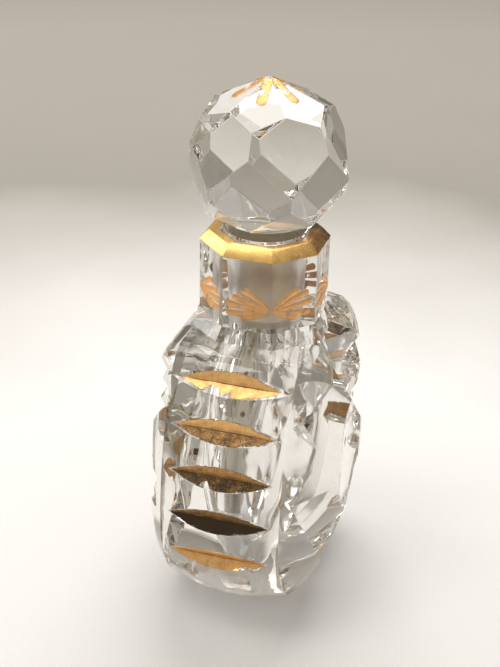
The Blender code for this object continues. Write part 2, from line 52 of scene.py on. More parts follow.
LEVEL = 0.9  # a face whose normal's Z is past this lies level
WAVE_REPEAT = 0.314  # the wave pattern's scale times the distance between its bands
STROKE_AROUND = 16  # sides of a brushed stroke
STROKE_ALONG = 22  # steps along a brushed stroke
STROKE_RIM = 0.02 * MM  # a stroke's points under this height lie on its frayed rim
RIM_THINNESS = 0.6
STROKE_ARRIS = 60.0  # degrees past which a stroke's edge stays sharp

Point = tuple[float, float]
Span = tuple[float, float]
Triple = tuple[float, float, float]
Socket = bpy.types.NodeSocket


class Joining(Enum):
    """What a Boolean does with its second solid."""

    ADD = "UNION"
    CUT = "DIFFERENCE"


class Skin(Enum):
    """Which finish of a glass piece a face takes."""

    POLISHED = 0
    GROUND = 1
    BLOWN = 2


class Edge(Enum):
    """The two narrow edges of the body."""

    FRONT = -1
    BACK = 1


# ---------------------------------------------------------------- shader building


class NodeSheet:
    """One material and the few node patterns that the finishes are made of."""

    def __init__(self, name: str) -> None:
        """Start a material with its shader.

        Args:
            name: the material's name.
        """
        self.material = bpy.data.materials.new(name)
        self.material.use_nodes = True
        self.tree = self.material.node_tree
        self.shader = self.tree.nodes["Principled BSDF"]
        self.output = self.tree.nodes["Material Output"]

    def add(self, kind: str) -> bpy.types.Node:
        """Add a node of a type, given without its leading ShaderNode."""
        return self.tree.nodes.new(f"ShaderNode{kind}")

    def join(self, source: Socket, target: Socket) -> None:
        """Link one socket to another."""
        self.tree.links.new(source, target)

    def place(self, stretch: Triple = (1.0, 1.0, 1.0)) -> Socket:
        """Give the point on the piece, in metres.

        Args:
            stretch: how much each axis is scaled.

        Returns:
            The socket of the scaled point.
        """
        where = self.add("TexCoord")
        mapping = self.add("Mapping")
        mapping.inputs["Scale"].default_value = stretch
        self.join(where.outputs["Object"], mapping.inputs["Vector"])
        return mapping.outputs["Vector"]

    def cloud(
        self,
        grain: float,
        detail: float = 3.0,
        rough: float = 0.5,
        stretch: Triple = (1.0, 1.0, 1.0),
    ) -> Socket:
        """A soft random pattern.

        Args:
            grain: the size of one blotch, in metres.
            detail: how many finer octaves it has.
            rough: how strong the finer octaves are.
            stretch: how much each axis is scaled.

        Returns:
            The socket of its value, about 0 to 1.
        """
        pattern = self.add("TexNoise")
        pattern.inputs["Scale"].default_value = 1.0 / grain
        pattern.inputs["Detail"].default_value = detail
        pattern.inputs["Roughness"].default_value = rough
        self.join(self.place(stretch), pattern.inputs["Vector"])
        return pattern.outputs[0]

    def graded(
        self, value: Socket, stops: list[tuple[float, Triple]]
    ) -> Socket:
        """Turn a value into a colour.

        Args:
            value: the socket of the value.
            stops: each place from 0 to 1 with its colour.

        Returns:
            The colour socket.
        """
        ramp = self.add("ValToRGB")
        band = ramp.color_ramp
        while len(band.elements) < len(stops):
            band.elements.new(0.5)
        for element, (place, colour) in zip(band.elements, stops):
            element.position = place
            element.color = (*colour, 1.0)
        self.join(value, ramp.inputs["Fac"])
        return ramp.outputs["Color"]

    def spread(
        self, value: Socket, low: float, high: float, to_low: float, to_high: float
    ) -> Socket:
        """Rescale a value from one range to another, held at both ends.

        Args:
            value: the socket of the value.
            low: the range's start.
            high: the range's end.
            to_low: what the start becomes.
            to_high: what the end becomes.

        Returns:
            The rescaled socket.
        """
        scaled = self.add("MapRange")
        scaled.inputs["From Min"].default_value = low
        scaled.inputs["From Max"].default_value = high
        scaled.inputs["To Min"].default_value = to_low
        scaled.inputs["To Max"].default_value = to_high
        self.join(value, scaled.inputs["Value"])
        return scaled.outputs["Result"]

    def combine(
        self, how: str, first: Socket, second: Socket | float
    ) -> Socket:
        """Work out one number from two.

        Args:
            how: the sum to do, such as MULTIPLY or MAXIMUM.
            first: the first socket.
            second: the second socket, or a plain number.

        Returns:
            The result's socket.
        """
        maths = self.add("Math")
        maths.operation = how
        self.join(first, maths.inputs[0])
        if isinstance(second, float):
            maths.inputs[1].default_value = second
        else:
            self.join(second, maths.inputs[1])
        return maths.outputs[0]

    def relief(
        self,
        height: Socket,
        depth: float,
        strength: float,
        under: Socket | None = None,
    ) -> Socket:
        """Raise the surface by a pattern.

        Args:
            height: the pattern.
            depth: how far a full step of it rises, in metres.
            strength: how much of that shows.
            under: the normal that it is laid on.

        Returns:
            The normal socket.
        """
        bump = self.add("Bump")
        bump.inputs["Distance"].default_value = depth
        bump.inputs["Strength"].default_value = strength
        self.join(height, bump.inputs["Height"])
        if under is not None:
            self.join(under, bump.inputs["Normal"])
        return bump.outputs["Normal"]


# ---------------------------------------------------------------- finishes


@dataclass(frozen=True)
class ClearCrystal:
    """Polished lead glass, with the slow waves of hand work and fine handling marks."""

    name: str = "polished_crystal"
    colour: Triple = (0.985, 0.985, 0.975)
    bending: float = 1.54
    wave_size: float = 5.0 * MM
    wave_depth: float = 0.06 * MM
    mark_size: float = 0.9 * MM
    mark_stretch: Triple = (1.0, 1.0, 0.35)
    mark_range: Span = (0.52, 0.75)
    smoke: Triple = (0.75, 0.72, 0.65)
    smoke_density: float = 11.0
    clearest: float = 0.0
    dullest: float = 0.035

    def make(self) -> bpy.types.Material:
        """Build the material."""
        sheet = NodeSheet(self.name)
        shader = sheet.shader
        shader.inputs["Base Color"].default_value = (*self.colour, 1.0)
        shader.inputs["IOR"].default_value = self.bending
        shader.inputs["Transmission Weight"].default_value = 1.0
        marks = sheet.cloud(self.mark_size, detail=4.0, rough=0.6, stretch=self.mark_stretch)
        roughness = sheet.spread(marks, *self.mark_range, self.clearest, self.dullest)
        sheet.join(roughness, shader.inputs["Roughness"])
        waves = sheet.cloud(self.wave_size, detail=1.0)
        sheet.join(sheet.relief(waves, self.wave_depth, 1.0), shader.inputs["Normal"])
        depth = sheet.add("VolumeAbsorption")
        depth.inputs["Color"].default_value = (*self.smoke, 1.0)
        depth.inputs["Density"].default_value = self.smoke_density
        sheet.join(depth.outputs["Volume"], sheet.output.inputs["Volume"])
        return sheet.material


@dataclass(frozen=True)
class GroundCrystal:
    """Glass ground with grit: grey, lightly clouded and speckled."""

    name: str = "ground_crystal"
    colour: Triple = (0.95, 0.87, 0.75)
    speck: Triple = (0.50, 0.41, 0.30)
    bending: float = 1.54
    dullness: float = 0.42
    unevenness: float = 0.2
    cloud_size: float = 2.5 * MM
    speck_size: float = 0.28 * MM
    speck_range: Span = (0.60, 0.72)
    grit_depth: float = 0.02 * MM

    def make(self) -> bpy.types.Material:
        """Build the material."""
        sheet = NodeSheet(self.name)
        shader = sheet.shader
        specks = sheet.cloud(self.speck_size, detail=3.0, rough=0.65)
        clear_to, specked_from = self.speck_range
        stops = [(0.0, self.colour), (clear_to, self.colour), (specked_from, self.speck)]
        sheet.join(sheet.graded(specks, stops), shader.inputs["Base Color"])
        shader.inputs["IOR"].default_value = self.bending
        shader.inputs["Transmission Weight"].default_value = 1.0
        clouds = sheet.cloud(self.cloud_size, detail=2.0)
        dullest = self.dullness * (1 + self.unevenness)
        roughness = sheet.spread(clouds, 0.3, 0.7, self.dullness * (1 - self.unevenness), dullest)
        sheet.join(roughness, shader.inputs["Roughness"])
        sheet.join(sheet.relief(specks, self.grit_depth, 0.8), shader.inputs["Normal"])
        return sheet.material


@dataclass(frozen=True)
class FiredGold:
    """Copper-toned gold brushed on and fired: grainy, stained in places and rubbed in others,
    darkened where its points carry tarnish and painted shade.
    """

    name: str
    bright: Triple = (0.90, 0.55, 0.22)
    deep: Triple = (0.62, 0.34, 0.13)
    stain_and_shade: Triple = (0.075, 0.055, 0.035)
    blotch: float = 1.6 * MM
    blotch_share: float = 0.35
    grain: float = 0.16 * MM
    grain_depth: float = 0.03 * MM
    patch: float = 1.9 * MM
    fray: float = 0.35
    bare_edge: float = 0.015
    rubbed: float = 0.5
    stained: float = 0.3
    thinness_reach: float = 0.12
    tarnish_and_shade_reach: float = 0.42
    dullness: float = 0.40

    def make(self) -> bpy.types.Material:
        """Build the material."""
        sheet = NodeSheet(self.name)
        shader = sheet.shader
        shader.inputs["Metallic"].default_value = 1.0
        tone = sheet.cloud(self.blotch, detail=4.0, rough=0.6)
        grain = sheet.cloud(self.grain, detail=3.0, rough=0.7)
        blotches = sheet.combine("MULTIPLY", tone, self.blotch_share)
        grains = sheet.combine("MULTIPLY", grain, 1 - self.blotch_share)
        clean = sheet.combine("ADD", blotches, grains)
        # The points' tarnish_and_shade, real tarnish with painted shade, pulls the gold towards the
        # stain_and_shade colour.
        mixed = sheet.combine("SUBTRACT", clean, self.painted(sheet, "tarnish_and_shade", self.tarnish_and_shade_reach))
        colours = [
            (self.stained - 0.12, self.stain_and_shade),
            (self.stained + 0.06, self.deep),
            (0.50, self.bright),
            (0.85, self.bright),
        ]
        sheet.join(sheet.graded(mixed, colours), shader.inputs["Base Color"])
        roughness = sheet.spread(mixed, 0.3, 0.7, self.dullness, self.dullness / 2)
        sheet.join(roughness, shader.inputs["Roughness"])
        sheet.join(sheet.relief(grain, self.grain_depth, 0.7), shader.inputs["Normal"])
        self.wear(sheet, grain)
        return sheet.material

    def painted(self, sheet: NodeSheet, what: str, reach: float) -> Socket:
        """Read a value painted on the film's points.

        Args:
            sheet: the material being built.
            what: the value's name, thinness or tarnish_and_shade, which is tarnish with painted
                shade.
            reach: how far its full amount counts.

        Returns:
            The socket of the scaled value.
        """
        layer = sheet.add("Attribute")
        layer.attribute_name = what
        return sheet.combine("MULTIPLY", layer.outputs["Fac"], reach)

    def wear(self, sheet: NodeSheet, grain: Socket) -> None:
        """Let the glass show where the gold has been rubbed off.

        Args:
            sheet: the material being built.
            grain: its grain, which frays the edge of each bare patch.
        """
        patches = sheet.cloud(self.patch, detail=3.0, rough=0.6)
        frayed = sheet.combine("ADD", patches, sheet.combine("MULTIPLY", grain, self.fray))
        bare = sheet.combine("ADD", frayed, self.painted(sheet, "thinness", self.thinness_reach))
        limit = 1.0 - 0.25 * self.rubbed
        kept = sheet.spread(bare, limit - self.bare_edge, limit + self.bare_edge, 1.0, 0.0)
        sheet.join(kept, sheet.shader.inputs["Alpha"])


@dataclass(frozen=True)
class PaleCloth:
    """Smooth pale cloth with a faint weave, with painted shade: palest under the bottle and painted
    greyer away from it, as the light falls off.
    """

    name: str = "pale_cloth"
    colour: Triple = (0.87, 0.855, 0.84)
    grey: Triple = (0.36, 0.34, 0.295)
    far_falloff_colour: Triple = (0.47, 0.44, 0.385)
    reach: float = 0.5
    falloff_at: tuple[float, ...] = (0.14, 0.26, 0.37, 0.70)
    unevenness: float = 0.02
    uneven_size: float = 60.0 * MM
    thread: float = 0.45 * MM
    thread_depth: float = 0.03 * MM

    def make(self) -> bpy.types.Material:
        """Build the material."""
        sheet = NodeSheet(self.name)
        shader = sheet.shader
        shader.inputs["Roughness"].default_value = 0.9
        shader.inputs["Specular IOR Level"].default_value = 0.15
        away = sheet.add("VectorMath")
        away.operation = "LENGTH"
        sheet.join(sheet.place(), away.inputs[0])
        patches = sheet.cloud(self.uneven_size, detail=2.0)
        uneven = sheet.spread(patches, 0.3, 0.7, -self.unevenness, self.unevenness)
        # Painted shade: the cloth's colour darkens with distance from the centre, standing for the
        # light's fall-off.
        share = sheet.combine("DIVIDE", away.outputs["Value"], self.reach)
        distance = sheet.combine("ADD", share, uneven)
        middle = tuple((near + far) / 2 for near, far in zip(self.colour, self.grey))
        falloff_tones = (self.colour, middle, self.grey, self.far_falloff_colour)
        stops = list(zip(self.falloff_at, falloff_tones))
        sheet.join(sheet.graded(distance, stops), shader.inputs["Base Color"])
        weave = sheet.combine("ADD", self.threads(sheet, "X"), self.threads(sheet, "Y"))
        sheet.join(sheet.relief(weave, self.thread_depth, 0.35), shader.inputs["Normal"])
        return sheet.material

    def threads(self, sheet: NodeSheet, axis: str) -> Socket:
        """One direction of threads.

        Args:
            sheet: the material being built.
            axis: X or Y, which the threads are counted along.

        Returns:
            The socket of their height.
        """
        wave = sheet.add("TexWave")
        wave.inputs["Scale"].default_value = WAVE_REPEAT / self.thread
        wave.inputs["Distortion"].default_value = 0.6
        wave.inputs["Detail"].default_value = 1.0
        wave.bands_direction = axis
        sheet.join(sheet.place(), wave.inputs["Vector"])
        return wave.outputs[1]


# ---------------------------------------------------------------- mesh helpers


def mesh_from(shape: bmesh.types.BMesh, name: str) -> bpy.types.Mesh:
    """Close a bmesh into a mesh whose faces look outwards.

    Args:
        shape: the bmesh, which is freed.
        name: the mesh's name.

    Returns:
        The mesh.
    """
    bmesh.ops.recalc_face_normals(shape, faces=shape.faces)
    mesh = bpy.data.meshes.new(name)
    shape.to_mesh(mesh)
    shape.free()
    return mesh


def put(
    name: str, mesh: bpy.types.Mesh, finishes: list[bpy.types.Material] | None = None
) -> bpy.types.Object:
    """Place a mesh in the scene.

    Args:
        name: the object's name.
        mesh: its mesh.
        finishes: its materials, in the order of Skin.

    Returns:
        The object.
    """
    made = bpy.data.objects.new(name, mesh)
    bpy.context.scene.collection.objects.link(made)
    for finish in finishes or []:
        mesh.materials.append(finish)
    return made


def join_solid(target: bpy.types.Object, other: bpy.types.Object, how: Joining) -> None:
    """Add or cut one solid with another.

    Args:
        target: the object that is changed.
        other: the solid that changes it.
        how: whether it is added or cut away.
    """
    modifier = target.modifiers.new(other.name, "BOOLEAN")
    modifier.operation = how.value
    modifier.solver = "MANIFOLD"
    modifier.object = other


def settle(piece: bpy.types.Object, helpers: list[bpy.types.Object]) -> None:
    """Keep a piece's evaluated mesh as its own and drop the helpers that shaped it.

    Args:
        piece: the piece with modifiers.
        helpers: the cutters and blanks that it used.
    """
    graph = bpy.context.evaluated_depsgraph_get()
    final = bpy.data.meshes.new_from_object(piece.evaluated_get(graph))
    piece.modifiers.clear()
    piece.data = final
    for helper in helpers:
        bpy.data.objects.remove(helper, do_unlink=True)


def shade(piece: bpy.types.Object, sharp: float) -> None:
    """Shade a piece smooth, with every edge sharper than an angle in degrees kept as an arris."""
    piece.data.shade_smooth()
    piece.data.set_sharp_from_angle(angle=math.radians(sharp))


def turned(profile: list[Point], steps: int, name: str) -> bpy.types.Mesh:
    """Turn a profile into a solid of revolution.

    Args:
        profile: (radius, height) points from one end of the axis to the other.
        steps: how many sides it has.
        name: the mesh's name.

    Returns:
        The mesh, with its first side's arris on +X.
    """
    shape = bmesh.new()
    verts = [shape.verts.new((radius, 0.0, height)) for radius, height in profile]
    edges = [shape.edges.new(pair) for pair in zip(verts, verts[1:])]
    bmesh.ops.spin(
        shape,
        geom=[*verts, *edges],
        cent=(0.0, 0.0, 0.0),
        axis=(0.0, 0.0, 1.0),
        angle=2 * math.pi,
        steps=steps,
        use_merge=True,
    )
    bmesh.ops.remove_doubles(shape, verts=shape.verts, dist=1e-7)
    return mesh_from(shape, name)


def arc(centre: Point, radius: float, start: float, end: float, step: float) -> list[Point]:
    """Points of an arc, both ends included.

    Args:
        centre: its centre.
        radius: its radius.
        start: its first angle, in radians.
        end: its last angle.
        step: the largest angle between points.

    Returns:
        The points.
    """
    count = max(2, math.ceil(abs(end - start) / step))
    angles = [start + (end - start) * i / count for i in range(count + 1)]
    return [(centre[0] + radius * math.cos(a), centre[1] + radius * math.sin(a)) for a in angles]


def frame_on(origin: Vector, along: Vector, out: Vector) -> Matrix:
    """A placing whose local Z lies on along and local Y on out.

    Args:
        origin: where it stands.
        along: its Z direction.
        out: its Y direction, square to along.

    Returns:
        The matrix.
    """
    z_axis = along.normalized()
    y_axis = out.normalized()
    matrix = Matrix((y_axis.cross(z_axis), y_axis, z_axis)).transposed().to_4x4()
    matrix.translation = origin
    return matrix


def grind(shape: bmesh.types.BMesh, normal: Vector, point: Vector) -> None:
    """Grind away what lies beyond a plane and close the flat that it leaves.

    Args:
        shape: the closed bmesh.
        normal: the plane's outward normal.
        point: a point on it.
    """
    cut = bmesh.ops.bisect_plane(
        shape,
        geom=[*shape.verts, *shape.edges, *shape.faces],
        plane_co=point,
        plane_no=normal,
        dist=1e-7,
        clear_outer=True,
    )
    edges = [item for item in cut["geom_cut"] if isinstance(item, bmesh.types.BMEdge)]
    rim = [edge for edge in edges if edge.is_valid and len(edge.link_faces) == 1]
    if rim:
        bmesh.ops.contextual_create(shape, geom=rim)


def wheel(
    name: str, half_width: float, half_height: float, length: float, placing: Matrix
) -> bpy.types.Object:
    """A bar of diamond section, which cuts a mitre as a V-edged wheel does.

    Args:
        name: the cutter's name.
        half_width: half its width, along local X.
        half_height: half its height, along local Y.
        length: its length, along local Z.
        placing: where it stands.

    Returns:
        The cutter.
    """
    shape = bmesh.new()
    bmesh.ops.create_cone(shape, cap_ends=True, segments=4, radius1=1.0, radius2=1.0, depth=1.0)
    bmesh.ops.scale(shape, vec=(half_width, half_height, length), verts=shape.verts)
    cutter = put(name, mesh_from(shape, name))
    cutter.matrix_world = placing
    return cutter


# ---------------------------------------------------------------- bottle


@dataclass
class Body:
    """The flattened round body: a crowned narrow edge, a bevel and a domed broad face each side."""

    half_width: float = 23.0 * MM
    widest_height: float = 19.4 * MM
    corner_radius: float = 20.0 * MM
    side_radius: float = 51.0 * MM
    side_sweep: float = math.radians(28.0)
    shoulder_radius: float = 6.0 * MM
    centre: float = 24.2 * MM
    strip_half: float = 9.5 * MM
    crown_radius: float = 30.0 * MM
    bevel_out: float = 1.5 * MM
    bevel_inset: float = 1.5 * MM
    dome: float = 4.5 * MM
    dome_power: int = 3
    shoulder_fullness: float = 1.5
    step: float = math.radians(3.0)
    crown_rings: int = 6
    dome_rings: int = 13
    ring_crowding: float = 1.2

    @property
    def face_edge(self) -> float:
        """Height of the broad face's edge over the middle plane."""
        return self.strip_half + self.bevel_out

    @property
    def shoulder_top(self) -> float:
        """Height of the top of the shoulder over the table."""
        rise = (self.side_radius - self.shoulder_radius) * math.sin(self.side_sweep)
        return self.widest_height + rise + self.shoulder_radius

    def corner_centre(self) -> Point:
        """Centre of the lower corner's arc."""
        return (self.half_width - self.corner_radius, self.widest_height)

    def side_centre(self) -> Point:
        """Centre of the side's arc."""
        return (self.half_width - self.side_radius, self.widest_height)

    def outline(self) -> list[Point]:
        """The whole outline in (y, z), counted round from the middle of the base."""
        sweep = self.side_sweep
        side = arc(self.side_centre(), self.side_radius, 0.0, sweep, self.step)
        shoulder_centre = (
            side[-1][0] - self.shoulder_radius * math.cos(sweep),
            side[-1][1] - self.shoulder_radius * math.sin(sweep),
        )
        corner = arc(self.corner_centre(), self.corner_radius, -math.pi / 2, 0.0, self.step)
        shoulder = arc(shoulder_centre, self.shoulder_radius, sweep, math.pi / 2, 2 * self.step)
        half = corner + side[1:] + shoulder[1:]
        mirrored = [(-y, z) for y, z in reversed(half)]
        return [(0.0, half[0][1]), *half, (0.0, half[-1][1]), *mirrored]

    def crown_drop(self, x: float) -> float:
        """How far the narrow edge lies below its crown, x from its middle."""
        return x * x / (2 * self.crown_radius)

    def face_inset(self) -> float:
        """Where the domed face begins, in from the crown of the narrow edge."""
        return self.crown_drop(self.strip_half) + self.bevel_inset

    def dome_x(self, inset: float) -> float:
        """The broad face's height over the middle plane at an inset from the narrow edge."""
        share = (inset - self.face_inset()) / (self.half_width - self.face_inset())
        return self.face_edge + self.dome * (1 - (1 - share) ** self.dome_power)

    def inset_below(self, height: float) -> float:
        """The inset of the ring that crosses the face's centre line at a height."""
        drop = self.centre - (self.widest_height - self.corner_radius)
        return self.half_width * (1.0 - (self.centre - height) / drop)

    def rings(self) -> list[Point]:
        """(inset, x) from the middle of the narrow edge to the middle of a broad face."""
        steps = [self.strip_half * i / self.crown_rings for i in range(self.crown_rings + 1)]
        rings = [(self.crown_drop(x), x) for x in steps]
        start = self.face_inset()
        for i in range(self.dome_rings + 1):
            share = (i / self.dome_rings) ** self.ring_crowding
            inset = start + (self.half_width - start) * share
            rings.append((inset, self.dome_x(inset)))
        return rings

    def blank(self) -> bpy.types.Mesh:
        """The uncut body: a sphere's grid with each ring moved to its own copy of the outline."""
        outline = self.outline()
        rings = self.rings()
        count = len(outline)
        last = len(rings) - 1
        shape = bmesh.new()
        bmesh.ops.create_uvsphere(shape, u_segments=count, v_segments=2 * last, radius=1.0)
        for vert in shape.verts:
            polar = math.acos(max(-1.0, min(1.0, vert.co.z)))
            ring = round(polar / math.pi * 2 * last) - last
            turn = round(math.atan2(vert.co.y, vert.co.x) / (2 * math.pi) * count) % count
            inset, x = rings[abs(ring)]
            y, z = outline[turn]
            power = self.shoulder_fullness if z > self.centre else 1.0
            kept = 1.0 - (inset / self.half_width) ** power
            height = self.centre + (z - self.centre) * kept
            vert.co = (math.copysign(x, -ring), y * (1.0 - inset / self.half_width), height)
        grind(shape, Vector((0, 0, -1)), Vector((0, 0, 0)))
        return mesh_from(shape, "body_blank")

    def edge_point(self, distance: float) -> Triple:
        """A point on the crown of the narrow edge.

        Args:
            distance: how far down it lies from the foot of the shoulder.

        Returns:
            Its y, its z and the angle that the edge faces above level.
        """
        side_length = self.side_radius * self.side_sweep
        if distance < side_length:
            angle = self.side_sweep - distance / self.side_radius
            centre, radius = self.side_centre(), self.side_radius
        else:
            angle = -(distance - side_length) / self.corner_radius
            centre, radius = self.corner_centre(), self.corner_radius
        return (centre[0] + radius * math.cos(angle), centre[1] + radius * math.sin(angle), angle)


@dataclass
class EdgeCuts:
    """The mitre cuts down both narrow edges."""

    body: Body
    count: int = 5
    first: float = 0.1 * MM
    pitch: float = 7.3 * MM
    depth: float = 1.1 * MM
    half_angle: float = math.radians(62.5)
    overshoot: float = 4.0 * MM

    def placings(self) -> dict[str, Matrix]:
        """Each cut's name and placing: local Z along X, local Y straight out of the edge."""
        placings = {}
        for edge in Edge:
            for i in range(self.count):
                y, z, angle = self.body.edge_point(self.first + i * self.pitch)
                out = Vector((0.0, edge.value * math.cos(angle), math.sin(angle)))
                origin = Vector((0.0, edge.value * y, z))
                name = f"{edge.name.lower()}_cut_{i + 1}"
                placings[name] = frame_on(origin, Vector((1.0, 0.0, 0.0)), out)
        return placings

    def cutters(self) -> list[bpy.types.Object]:
        """The wheels that make them."""
        height = self.depth + self.overshoot
        width = height * math.tan(self.half_angle)
        length = 2 * (self.body.strip_half + self.overshoot)
        lift = Matrix.Translation((0.0, height - self.depth, 0.0))
        return [
            wheel(f"wheel_{name}", width, height, length, placing @ lift)
            for name, placing in self.placings().items()
        ]


@dataclass
class FaceCuts:
    """The cutting on both broad faces: a lozenge of mitres, a thumb cut, flutes and fans."""

    body: Body
    lozenge_half_width: float = 18.0 * MM
    lozenge_half_height: float = 19.3 * MM
    side_depth: float = 0.7 * MM
    top_depth: float = 2.0 * MM
    foot_depth: float = 1.2 * MM
    lozenge_half_angle: float = math.radians(48.0)
    thumb_half_width: float = 7.0 * MM
    thumb_half_height: float = 11.5 * MM
    thumb_depth: float = 1.6 * MM
    flutes: int = 3
    flute_pitch: float = 2.3 * MM
    flute_depth: float = 0.9 * MM
    fan_cuts: int = 3
    fan_depth: float = 1.0 * MM
    fan_spread: float = math.radians(17.0)
    fine_half_angle: float = math.pi / 4
    crossing_step: float = 0.05 * MM
    overshoot: float = 4.0 * MM

    def corners(self) -> list[Vector]:
        """Back, top, front and foot corner of the +X face's lozenge, on the floors of its cuts."""
        edge = self.body.face_edge
        centre = self.body.centre
        return [
            Vector((edge - self.side_depth, self.lozenge_half_width, centre)),
            Vector((edge - self.top_depth, 0.0, centre + self.lozenge_half_height)),
            Vector((edge - self.side_depth, -self.lozenge_half_width, centre)),
            Vector((edge - self.foot_depth, 0.0, centre - self.lozenge_half_height)),
        ]

    def mitre(
        self, name: str, start: Vector, end: Vector, half_angle: float, side: int
    ) -> bpy.types.Object:
        """A V cut with a straight floor.

        Args:
            name: the cutter's name.
            start: where its floor begins, on the +X face.
            end: where its floor ends.
            half_angle: half the angle between its flanks.
            side: 1 for the +X face, -1 for the other.

        Returns:
            The cutter.
        """
        height = self.overshoot + self.body.dome
        along = end - start
        out = (Vector((1.0, 0.0, 0.0)) - along * along.x / along.length_squared).normalized()
        placing = frame_on((start + end) / 2 + out * height, along, out)
        if side < 0:
            placing = Matrix.Rotation(math.pi, 4, "Z") @ placing
        return wheel(name, height * math.tan(half_angle), height, along.length, placing)

    def thumb(self, side: int) -> bpy.types.Object:
        """The round wheel of the tall oval cut on one face.

        Args:
            side: 1 for the +X face, -1 for the other.

        Returns:
            The cutter.
        """
        swell = 2 * self.thumb_depth
        spread = 1 / math.sqrt(1 - ((swell - self.thumb_depth) / swell) ** 2)
        shape = bmesh.new()
        bmesh.ops.create_icosphere(shape, subdivisions=5, radius=1.0)
        size = (swell, self.thumb_half_width * spread, self.thumb_half_height * spread)
        bmesh.ops.scale(shape, vec=size, verts=shape.verts)
        cutter = put(f"wheel_thumb_{side}", mesh_from(shape, "wheel_thumb"))
        reach = self.body.face_edge + self.body.dome + swell - self.thumb_depth
        cutter.location = (side * reach, 0.0, self.body.centre)
        return cutter

    def flute_cutters(self, side: int) -> list[bpy.types.Object]:
        """Short level grooves across the lozenge under the thumb cut.

        Args:
            side: 1 for the +X face, -1 for the other.

        Returns:
            The cutters.
        """
        cutters = []
        bottom = self.corners()[3].z
        for i in range(self.flutes):
            height = self.body.centre - self.thumb_half_height - (i + 0.5) * self.flute_pitch
            reach = self.lozenge_half_width * (height - bottom) / self.lozenge_half_height
            floor = self.body.dome_x(self.body.inset_below(height)) - self.flute_depth
            start, end = Vector((floor, -reach, height)), Vector((floor, reach, height))
            name = f"wheel_flute_{side}_{i}"
            cutters.append(self.mitre(name, start, end, self.fine_half_angle, side))
        return cutters

    def fan_cutters(self, side: int) -> list[bpy.types.Object]:
        """Small mitres that spread over the two upper lobes.

        Args:
            side: 1 for the +X face, -1 for the other.

        Returns:
            The cutters.
        """
        cutters = []
        back, top = self.corners()[:2]
        hub = (back + top) / 2
        outward = Vector((0.0, self.lozenge_half_height, self.lozenge_half_width)).normalized()
        for mirror in (1, -1):
            for i in range(self.fan_cuts):
                turn = Matrix.Rotation((i - (self.fan_cuts - 1) / 2) * self.fan_spread, 3, "X")
                along = turn @ outward
                start = hub + along * self.overshoot / 2
                end = hub + along * self.overshoot * 3
                start.y *= mirror
                end.y *= mirror
                start.x = end.x = self.body.face_edge - self.fan_depth - self.crossing_step * i
                name = f"wheel_fan_{side}_{mirror}_{i}"
                cutters.append(self.mitre(name, start, end, self.fine_half_angle, side))
        return cutters

    def cutters(self) -> list[bpy.types.Object]:
        """All the wheels of both faces."""
        made = []
        corners = self.corners()
        for side in (1, -1):
            for i, corner in enumerate(corners):
                sink = Vector((self.crossing_step * (i % 2), 0.0, 0.0))
                start = corner - sink
                end = corners[(i + 1) % len(corners)] - sink
                reach = (end - start).normalized() * self.overshoot
                name = f"wheel_lozenge_{side}_{i}"
                start, end = start - reach, end + reach
                made.append(self.mitre(name, start, end, self.lozenge_half_angle, side))
            made.append(self.thumb(side))
            made.extend(self.flute_cutters(side))
            made.extend(self.fan_cutters(side))
        return made


@dataclass
class Neck:
    """The octagonal neck and its mouth, built out from the bore. Radii are to an arris."""

    body: Body
    bore_radius: float = 5.0 * MM
    bore_taper: float = 0.7 * MM
    bore_length: float = 14.0 * MM
    collar_step: float = 1.5 * MM
    seat_clearance: float = 0.7 * MM
    ring_width: float = 1.4 * MM
    bevel_width: float = 1.4 * MM
    bevel_height: float = 1.5 * MM
    sides: int = 8
    rise: float = 2.0 * MM
    height: float = 11.5 * MM
    flare: float = 3.0 * MM
    drop: float = 4.0 * MM

    @property
    def collar_radius(self) -> float:
        """Radius of the stopper's collar, which stands on the mouth."""
        return self.bore_radius + self.collar_step

    @property
    def ring_inner(self) -> float:
        """Inner radius of the mouth's gilded flat."""
        return self.collar_radius + self.seat_clearance

    @property
    def ring_outer(self) -> float:
        """Outer radius of the mouth's gilded flat."""
        return self.ring_inner + self.ring_width

    @property
    def radius(self) -> float:
        """Radius of the neck at an arris."""
        return self.ring_outer + self.bevel_width

    @property
    def foot(self) -> float:
        """Height of the neck's foot over the table."""
        return self.body.shoulder_top + self.rise

    @property
    def top(self) -> float:
        """Height of the foot of the mouth's bevel."""
        return self.foot + self.height

    @property
    def mouth(self) -> float:
        """Height of the mouth's flat."""
        return self.top + self.bevel_height

    @property
    def arris_turn(self) -> float:
        """How far the neck is turned so that a flat panel faces front."""
        return math.pi / self.sides

    def solid(self) -> bpy.types.Object:
        """The neck before it is bored, with a flared root that runs into the shoulder."""
        profile = [
            (0.0, self.mouth),
            (self.ring_outer, self.mouth),
            (self.radius, self.top),
            (self.radius, self.foot),
            (self.radius + self.flare, self.foot - self.drop),
            (0.0, self.foot - self.drop),
        ]
        neck = put("neck_blank", turned(profile, self.sides, "neck_blank"))
        neck.rotation_euler.z = self.arris_turn
        return neck

    def bore_at(self, height: float) -> float:
        """The ground bore's radius at a height."""
        return self.bore_radius - self.bore_taper * (self.mouth - height) / self.bore_length


